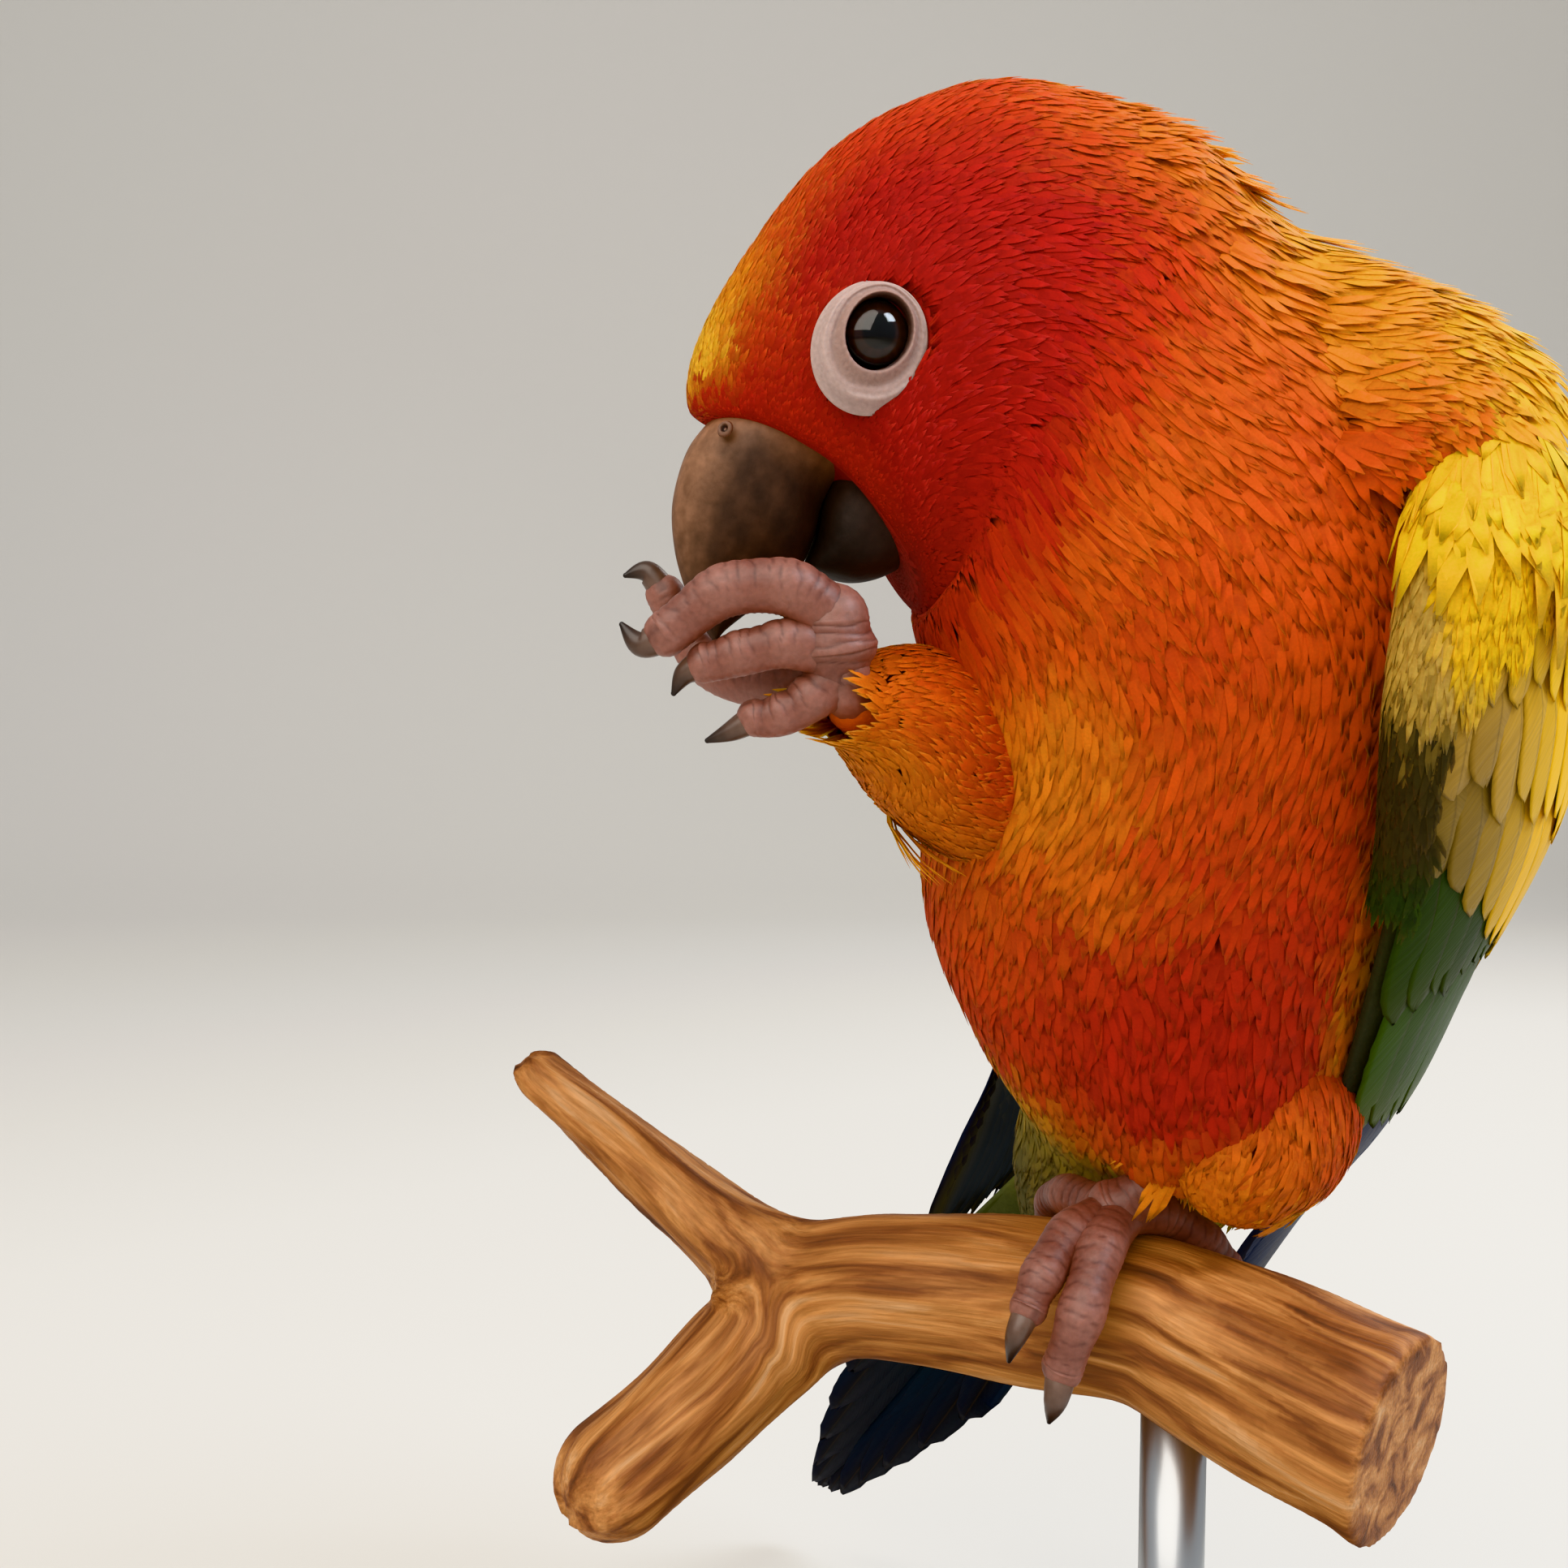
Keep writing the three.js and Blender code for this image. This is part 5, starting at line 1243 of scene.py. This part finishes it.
def eye_ring(name, side):
    """Bare skin round the eye: a band between two tilted ellipses whose section rises from the
    feathers, folds in low concentric wrinkles and turns over a darker lid edge into the eye."""
    turns, profile_steps = 120, 40
    turn = (np.arange(turns) * TURN / turns)[:, None]
    k = np.linspace(0, 1, profile_steps)[None, :]
    front = np.clip(k / LID_EDGE, 0, 1)
    back = np.clip((k - LID_EDGE) / (1 - LID_EDGE), 0, 1)
    inward = np.where(k <= LID_EDGE, front, 1 - back * 0.9) + 0 * turn
    folds = np.sin(front * 30 + 0.9 * np.sin(3 * turn) + 0.5 * np.sin(7 * turn))
    wrinkle = 0.05 * folds * np.sin(np.pi * front) ** 0.5
    crease = 0.05 * np.sin(turn * 44 + 2 * np.sin(5 * turn)) * ease(0.3, 0.8, front)
    height = -1.1 + 1.75 * ease(0, 0.35, front) + 0.75 * ease(0.62, 0.86, front) - 1.5 * ease(0.9, 1, front)
    behind = -0.85 - 1.6 * np.sin(np.pi * back / 1.2)
    height = np.where(k <= LID_EDGE, height + wrinkle + crease, behind)
    outer = ring_ellipse(RING_PLACE, RING_OUTER * 1.06, turn)
    inner = ring_ellipse(EYE_PLACE, RING_INNER * 0.98, turn)
    forward, up = mix(outer[0], inner[0], inward), mix(outer[1], inner[1], inward)
    points = in_head(forward, up, side * (RING_OUT + height))
    quads = ring_faces(turns + 1, profile_steps) % (turns * profile_steps)
    if side < 0:
        quads = quads[:, ::-1]
    lid = ease(0.86, 0.97, front) * np.ones_like(turn)
    tone = mix(linear("#ab948d"), linear("#94786f"), ease(0.2, 0.7, front + 0 * turn)[..., None])
    tone = mix(tone, linear("#3a2926"), lid[..., None])
    placed(build_mesh(f"eye_{name}_ring", points, [quads], BARE_SKIN, tone), "head_feathers")


def ring_ellipse(place, axes, turn):
    """Forward and upward place of an ellipse round the eye, turned by the ring's tilt."""
    forward, up = axes[0] * np.cos(turn), axes[1] * np.sin(turn)
    return (place[0] + forward * np.cos(RING_TILT) - up * np.sin(RING_TILT),
            place[1] + forward * np.sin(RING_TILT) + up * np.cos(RING_TILT))


# Branch
BRANCH_MAIN = [
    [23.6, -40.5, 86.4, 12.5], [7.3, -24.3, 89.6, 11.4], [-1.2, -18.1, 91.4, 10.7],
    [-15, -9.2, 90.3, 10.4], [-30.3, -1.2, 88.9, 10], [-43.4, 5.6, 87, 8.8],
    [-58.6, 13.2, 95.6, 5.8], [-74.3, 18, 107.3, 4.7], [-81, 21, 112, 4],
]
BRANCH_LOWER = [
    [-26, -3, 89, 7.5], [-40, 3.6, 84.6, 9], [-49, 2.1, 78.9, 8.8], [-57.7, -3.4, 72.3, 8.6],
    [-67, -9.2, 66.4, 8.2],
]
WOOD_VOXEL = 0.9  # mm, fine enough that the fork's crotch stays crisp
GRAIN_OFFSET = 48.0  # mm along the main stem at which the lower prong's grain begins


def branch():
    """The forked perch: two tubes fused through a fine voxel grid and smoothed, so that the crotch
    flows, then lifted into long low ridges by sines that run with the grain."""
    parts = []
    for path, flat_start in ((BRANCH_MAIN, True), (BRANCH_LOWER, False)):
        rings = round_tube(path, [0, 0, 1], 90, 48)
        rings = rings[CAP_RINGS:] if flat_start else rings
        flat, faces = closed_tube(rings)
        parts.append((flat, faces, flat))
    points, faces, _ = join_parts(parts)
    rough = build_mesh("perch_rough", points, faces, WOOD)
    remesh = rough.modifiers.new("fuse", "REMESH")
    remesh.mode = "VOXEL"
    remesh.voxel_size = WOOD_VOXEL * MM
    remesh.use_smooth_shade = True
    soften = rough.modifiers.new("soften", "SMOOTH")
    soften.iterations = 8
    soften.factor = 0.5
    fused = bpy.data.meshes.new_from_object(rough.evaluated_get(bpy.context.evaluated_depsgraph_get()))
    bpy.data.objects.remove(rough)
    count = len(fused.vertices)
    spots, normals = np.zeros(count * 3), np.zeros(count * 3)
    fused.vertices.foreach_get("co", spots)
    fused.vertices.foreach_get("normal", normals)
    spots, normals = spots.reshape(-1, 3) / MM, normals.reshape(-1, 3)
    gaps, places = [], []
    for path, offset in ((BRANCH_MAIN, 0.0), (BRANCH_LOWER, GRAIN_OFFSET)):
        line = smooth(path, np.linspace(0, len(path) - 1, 160))
        run = np.concatenate([[0], np.linalg.norm(np.diff(line[:, :3], axis=0), axis=1).cumsum()])
        gap = np.linalg.norm(spots[:, None, :] - line[None, :, :3], axis=2) - line[None, :, 3]
        best = gap.argmin(1)
        aside = spots - line[best, :3]
        along = unit(np.gradient(line[:, :3], axis=0))[best]
        across = unit(np.cross(along, [0, 0, 1]))
        third = np.cross(along, across)
        places.append(np.stack([run[best] + offset, (aside * across).sum(1), (aside * third).sum(1)], -1))
        gaps.append(gap.min(1))
    grain = mix(places[0], places[1], ease(-4, 4, gaps[0] - gaps[1])[:, None])
    kept = ease(0.2, 4, grain[:, 0])
    turn = np.arctan2(grain[:, 2], grain[:, 1])
    ridge = 0.22 * np.sin(5 * turn + grain[:, 0] * 0.05) + 0.14 * np.sin(11 * turn - grain[:, 0] * 0.09 + 1)
    lump = 0.3 * np.sin(grain[:, 0] * 0.21 + 2 * turn)
    spots = spots + normals * (kept * (ridge + lump) - 0.25)[:, None]
    fused.vertices.foreach_set("co", (spots * MM).ravel())
    layer = fused.attributes.new("Grain", "FLOAT_VECTOR", "POINT")
    layer.data.foreach_set("vector", grain.ravel())
    fused.name = "perch_wood"
    piece = bpy.data.objects.new("perch_wood", fused)
    bpy.context.scene.collection.objects.link(piece)
    fused.materials.clear()
    fused.materials.append(WOOD)
    placed(piece, "branch_wood", "perch")


# Stand
BASE_RADIUS = 55
BASE_THICKNESS = 8
ROD_RADIUS = 4
ROD_CENTRE = [3, -21]
ROD_TOP = 84  # inside the branch


def turned(name, centre, profile, material, count=96):
    """A lathe-turned piece: a profile of [radius, height] rows spun round an upright axis."""
    angle = np.arange(count) * TURN / count
    profile = np.array(profile, float)
    rings = np.stack([
        centre[0] + profile[:, 0:1] * np.cos(angle),
        centre[1] + profile[:, 0:1] * np.sin(angle),
        profile[:, 1:2] + 0 * angle,
    ], -1)
    return tube_piece(name, rings, material)


def stand():
    """The round base with a rounded upper edge, and the rod with a small collar at its foot."""
    quarter = np.linspace(0, np.pi / 2, 9)
    edge = 1.6
    rim = [[BASE_RADIUS - edge * (1 - np.cos(a)), BASE_THICKNESS - edge + edge * np.sin(a)] for a in quarter]
    profile = [[BASE_RADIUS - 8, 0], [BASE_RADIUS - 0.6, 0], [BASE_RADIUS, 0.6], *rim,
               [BASE_RADIUS - 8, BASE_THICKNESS]]
    placed(turned("stand_base_plastic", (0, 0), profile, PLASTIC, 160), "stand_plastic", "stand_base")
    rod = [[ROD_RADIUS, BASE_THICKNESS - 2], [ROD_RADIUS, ROD_TOP]]
    placed(turned("stand_rod_steel", ROD_CENTRE, rod, STEEL), "stand_steel", "stand_rod")
    collar = [[ROD_RADIUS + 3.2, BASE_THICKNESS - 0.5], [ROD_RADIUS + 3.2, BASE_THICKNESS + 1.4],
              [ROD_RADIUS + 2.4, BASE_THICKNESS + 2.4], [ROD_RADIUS + 0.1, BASE_THICKNESS + 2.8]]
    placed(turned("stand_rod_collar", ROD_CENTRE, collar, STEEL), "stand_steel")


# Skin and coat
LEFT_THIGH_RAMP = [(0, "#ac2614"), (1, "#b83a18"), (2, "#c85a1c"), (3, "#d2701e")]
RIGHT_THIGH_RAMP = [(0, "#b02a12"), (1, "#c23a14"), (2, "#ce4a16"), (3, "#da641c")]
# Thighs: name, path, colours, feather length, width and depth in mm, and lie of the feathers
THIGHS = [
    ("left", LEFT_THIGH, LEFT_THIGH_RAMP, (11, 3.4, 2.2), np.array([0.2, -0.1, -1.0])),
    ("right", RIGHT_THIGH, RIGHT_THIGH_RAMP, (6.4, 2.5, 1.7), np.array([-0.5, -0.6, 0.1])),
]
THIGH_FRONT = np.array([0.0, -1.0, 0.3])  # where the angles round a thigh start
# The long lower feathers of each thigh: sections and degrees between which they grow, length and
# droop in mm, share of yellow, and share of the places that carry one
FRINGE = [
    ((0.9, 2.2), (0, 360), 9.0, 3.0, 0.25, 0.3),
    ((1.2, 1.9), (208, 252), 9.5, 4.5, 0.35, 0.22),
]


def skin():
    """One skin under the whole coat: the body's surface and both thighs, inside by the coat's depth."""
    u, angle = np.meshgrid(np.linspace(0, BODY_END, 200), np.arange(96) * TURN / 96, indexing="ij")
    under_ring = ease(1.04, 0.94, ring_distance(body_surface(u, angle, 0 * u)))
    points = body_surface(u, angle, -mix(coat_depth(u, angle), coat_size(u)[2], under_ring))
    flat, faces = closed_tube(points)
    # Painted shade: the marking darkened to 0.8 where the skin lies under the coat.
    colour = marking(u, angle, points) * 0.8
    parts = [(flat, faces, capped(colour))]
    for _, path, stops, size, _ in THIGHS:
        rings = round_tube(path, THIGH_FRONT, 60, 40, -size[2])
        flat, faces = closed_tube(rings)
        along = np.repeat(np.linspace(0, 3, len(rings)), rings.shape[1])
        # Painted shade: the thighs' colours darkened to 0.8 in the same way.
        colour = np.concatenate([ramp(stops, along), ramp(stops, np.array([0.0, 3.0]))]) * 0.8
        parts.append((flat, faces, colour))
    points, faces, colour = join_parts(parts)
    piece = build_mesh("skin", points, faces, DOWN, colour)
    placed(piece, "body_feathers", "head", "neck", "torso", "leg_left", "leg_right")


CAPE_START, CAPE_END = 7.9, 9.2  # sections between which feathers close over the left wing's end
CAPE_TOP = 22  # degrees from the back at which they begin
CAPE_RISE = 9.5  # mm
THIGH_SWELL = 4.5  # mm


def cape_edge(u):
    """Degrees from the back to which the swelling over the wing's upper end reaches."""
    return mix(28, 60, ease(7.9, 9.1, u))


def cape_surface(u, angle, lift):
    """The body's surface on the viewer's side, swelling outwards to lie over the wing's upper end."""
    degrees = np.degrees(angle)
    edge = cape_edge(u)
    over = ease(7.7, 9.25, u) * ease(10, 44, degrees) * ease(edge + 18, edge - 2, degrees)
    return body_surface(u, angle, lift + CAPE_RISE * over)


def ruffle(places):
    """Slow waves over the body, about -1 to 1, that bend the lie of the coat."""
    return 0.5 * np.sin(places @ [0.31, 0.17, 0.23]) + 0.5 * np.sin(places @ [-0.13, 0.29, 0.41] + 2)


def coat_surface(u, angle, lift):
    """The body's surface with a soft swelling over the root of the left thigh, so that the belly's
    feathers run on over it."""
    degrees = np.degrees(angle % TURN)
    over = ease(11.5, 12.6, u) * ease(13.6, 13.0, u) * ease(62, 88, degrees) * ease(124, 102, degrees)
    return body_surface(u, angle, lift + THIGH_SWELL * over)


def body_coat(rng):
    """The coat of head, neck and trunk in ten pieces. On the mantle the feathers are longer and some
    stand out."""
    density = lambda u: COAT_OVERLAP / (coat_size(u)[0] * coat_size(u)[1])
    u, angle = scatter(body_surface, (0.04, BODY_END + 0.2), density)
    length, width, depth = coat_size(u)
    length, free = clear_of_eye(u, angle, length)
    u, angle, length, width, depth = (value[free] for value in (u, angle, length, width, depth))
    root = body_surface(u, angle, 0 * u)
    depth = coat_depth(u, angle)
    colour = marking(u + rng.normal(0, 0.12, len(u)), angle, root + rng.normal(0, 1.2, root.shape))
    near = np.sin(angle) > 0
    back = np.cos(angle) > 0
    mantle = ease(5.6, 7.6, u) * ease(0.3, 0.85, np.cos(angle))
    length, width = length * (1 + 0.2 * mantle), width * (1 + 0.25 * mantle)
    stand = mantle * (0.3 * rng.random(len(u)) + 3.2 * rng.random(len(u)) ** 6)
    yaw = 0.16 * ruffle(root) * ease(2, 6, u)
    for side, here in (("left", near), ("right", ~near)):
        regions = [
            ("coat_face", u < 3, 4, "head_feathers"),
            ("coat_crown", (u >= 3) & (u < 6), 4, "head_feathers"),
            ("coat_neck", (u >= 6) & (u < 9), 5, "neck_feathers"),
            ("coat_back", (u >= 9) & back, 5, "body_feathers"),
            ("coat_breast", (u >= 9) & ~back, 5, "body_feathers"),
        ]
        for name, mask, barbs, slot in regions:
            mask = mask & here
            sizes = (length[mask], width[mask], depth[mask])
            piece = coat_feathers(f"{name}_{side}", coat_surface, u[mask], angle[mask], sizes, colour[mask],
                                  rng, barbs, yaw=yaw[mask], stand=stand[mask])
            placed(piece, slot)


def cape_coat(rng):
    """Long yellow feathers of the mantle that close over the left wing's upper end, orange in front."""
    u, angle = scatter(cape_surface, (CAPE_START, CAPE_END), even(8, 3, 1.9), 40, 360)
    degrees = np.degrees(angle) + rng.normal(0, 2.5, len(u))
    last = CAPE_END - 0.35 * ease(56, 74, degrees)
    inside = (degrees > CAPE_TOP) & (degrees < cape_edge(u) + 17) & (u < last)
    u, angle, degrees = u[inside], angle[inside], degrees[inside]
    sizes = (rng.uniform(6.5, 9.5, len(u)), 3.0, 2.4)
    root = cape_surface(u, angle, 0 * u)
    back = ease(8.5, 9.0, u + rng.normal(0, 0.1, len(u)))
    yellow = back * ease(66, 48, degrees + rng.normal(0, 3, len(u)))
    colour = marking(u + rng.normal(0, 0.12, len(u)), angle, root)
    colour = mix(colour, linear("#f3b426"), yellow[:, None])
    yaw = rng.normal(0, 0.12, len(u))
    stand = 1.5 * rng.random(len(u)) ** 3
    piece = coat_feathers("coat_cape", cape_surface, u, angle, sizes, colour, rng, yaw=yaw, stand=stand)
    placed(piece, "neck_feathers")


def thigh_coats(rng):
    """The coat of both thighs, with a fringe of longer feathers that hangs from the lower side."""
    for (name, path, stops, size, lie), fringe in zip(THIGHS, FRINGE):
        span, turn, hang, droop, yellow, share = fringe
        surface = tube_surface(path, THIGH_FRONT)
        long, wide, deep = size
        u, angle = scatter(surface, (0.1, 3.0), even(long, wide), 60, 48)
        taper = mix(1.0, 0.8, u / 3)
        sizes = (long * taper, wide * taper, deep * taper)
        out = unit(surface(u, angle, 0 * u + 1) - surface(u, angle, 0 * u))
        below = ease(0.3, 0.95, -out[:, 2])
        colour = ramp(stops, u + rng.normal(0, 0.15, len(u)))
        colour = mix(colour, linear("#e0902a"), (yellow * below)[:, None])
        yaw = 0.8 * turn_towards(surface, u, angle, lie)
        piece = coat_feathers(f"coat_thigh_{name}", surface, u, angle, sizes, colour, rng, 5, 3, yaw)
        placed(piece, "leg_feathers")
        degrees = np.degrees(angle) % 360
        inside = (below > 0.3) & (u > span[0]) & (u < span[1]) & (degrees > turn[0]) & (degrees < turn[1])
        chosen = inside & (rng.random(len(u)) < share)
        u, angle, below = u[chosen], angle[chosen], below[chosen]
        sizes = (hang * rng.uniform(0.7, 1.1, len(u)), wide + 0.6, deep)
        share_yellow = np.minimum(1, 2 * yellow) * below
        colour = mix(linear("#d46a1c"), linear("#eba528"), share_yellow[:, None])
        yaw = turn_towards(surface, u, angle, np.array([0.0, 0.0, -1.0]))
        piece = coat_feathers(f"coat_fringe_{name}", surface, u, angle, sizes, colour, rng, 5, 3, yaw,
                              droop * rng.random(len(u)))
        placed(piece, "leg_feathers")


# Floor, light and camera
def floor_material():
    """Matt pale paper: even, almost white, no gloss."""
    material, tree, shader = new_material("matt pale paper")
    place = add(tree, "TexCoord")
    noise = add(tree, "TexNoise", {"Scale": 400.0, "Detail": 2.0}, {"Vector": place.outputs["Object"]})
    bump = add(tree, "Bump", {"Strength": 0.05, "Distance": 0.0002}, {"Height": noise.outputs["Fac"]})
    set_shader(tree, shader,
               {"Base Color": (*linear("#d9d6d1"), 1), "Roughness": 0.9, "Specular IOR Level": 0.2},
               {"Normal": bump.outputs[0]})
    return material


def floor():
    """A wide sheet of paper, flat under the stand, curving up far behind it through a quarter of a
    circle, and then upright."""
    across = np.linspace(-3000, 3000, 24)
    flat_end, radius = 900, 600
    quarter = np.linspace(0.1, 1, 12) * np.pi / 2
    upright = flat_end + radius
    run = np.concatenate([np.linspace(-3000, flat_end, 20), flat_end + radius * np.sin(quarter),
                          [upright, upright]])
    rise = np.concatenate([np.zeros(20), radius * (1 - np.cos(quarter)), [1400, 2600]])
    points = np.stack(np.broadcast_arrays(across[None, :], run[:, None], rise[:, None]), -1)
    rows, columns = points.shape[:2]
    r, c = np.meshgrid(np.arange(rows - 1), np.arange(columns - 1), indexing="ij")
    a = r * columns + c
    quads = np.stack([a, a + 1, a + columns + 1, a + columns], -1).reshape(-1, 4)
    build_mesh("floor", points, [quads], floor_material())


def softbox(name, place, aim, size, power, colour="#ffffff"):
    """A square area light at place, turned to aim, both in mm."""
    light = bpy.data.lights.new(name, "AREA")
    light.shape = "SQUARE"
    light.size = size * MM
    light.energy = power
    light.color = tuple(linear(colour))
    lamp = bpy.data.objects.new(name, light)
    place, aim = np.array(place, float), np.array(aim, float)
    backward = unit(place - aim)
    right = unit(np.cross([0, 0, 1], backward))
    upward = np.cross(backward, right)
    matrix = np.eye(4)
    matrix[:3, :3] = np.stack([right, upward, backward], 1)
    matrix[:3, 3] = place * MM
    lamp.matrix_world = Matrix([list(row) for row in matrix])
    bpy.context.scene.collection.objects.link(lamp)


def studio():
    """Soft studio light: a large key from the upper left, a small window light from the upper right
    that the eye reflects, a light from behind, and a pale surround."""
    middle = (-5, -20, 160)
    softbox("key", (-420, -760, 980), middle, 1300, 17, "#fff6ea")
    softbox("window", (424, -256, 676), middle, 240, 3.4, "#e6f2ff")
    softbox("back", (500, 500, 650), middle, 400, 3)
    world = bpy.data.worlds.new("surround")
    world.use_nodes = True
    world.node_tree.nodes["Background"].inputs["Color"].default_value = (0.86, 0.88, 0.9, 1)
    world.node_tree.nodes["Background"].inputs["Strength"].default_value = 0.6
    bpy.context.scene.world = world
    bpy.context.scene.view_settings.view_transform = "Khronos PBR Neutral"


CAMERA_PLACE = (-45, -210, 171.5)
CAMERA_PITCH = np.radians(86)
CAMERA_LENS = 36.335  # mm on a 36 mm sensor


def camera():
    """The photograph's view: level with the breast, four degrees down."""
    data = bpy.data.cameras.new("camera")
    data.lens = CAMERA_LENS
    data.sensor_width = 36
    data.clip_start = 0.01
    view = bpy.data.objects.new("camera", data)
    view.location = [value * MM for value in CAMERA_PLACE]
    view.rotation_euler = (CAMERA_PITCH, 0, 0)
    bpy.context.scene.collection.objects.link(view)
    bpy.context.scene.camera = view


camera()
studio()
floor()
skin()
coat_random = np.random.default_rng(7)
body_coat(coat_random)
cape_coat(coat_random)
thigh_coats(coat_random)
eyes()
bill()
wing("wing_left", LEFT_WING, LEFT_PRIMARY_END, 1, -SHOULDER, 11)
wing("wing_right", RIGHT_WING, RIGHT_PRIMARY_END, -1, 1.2, 23)
tail()
feet()
branch()
stand()
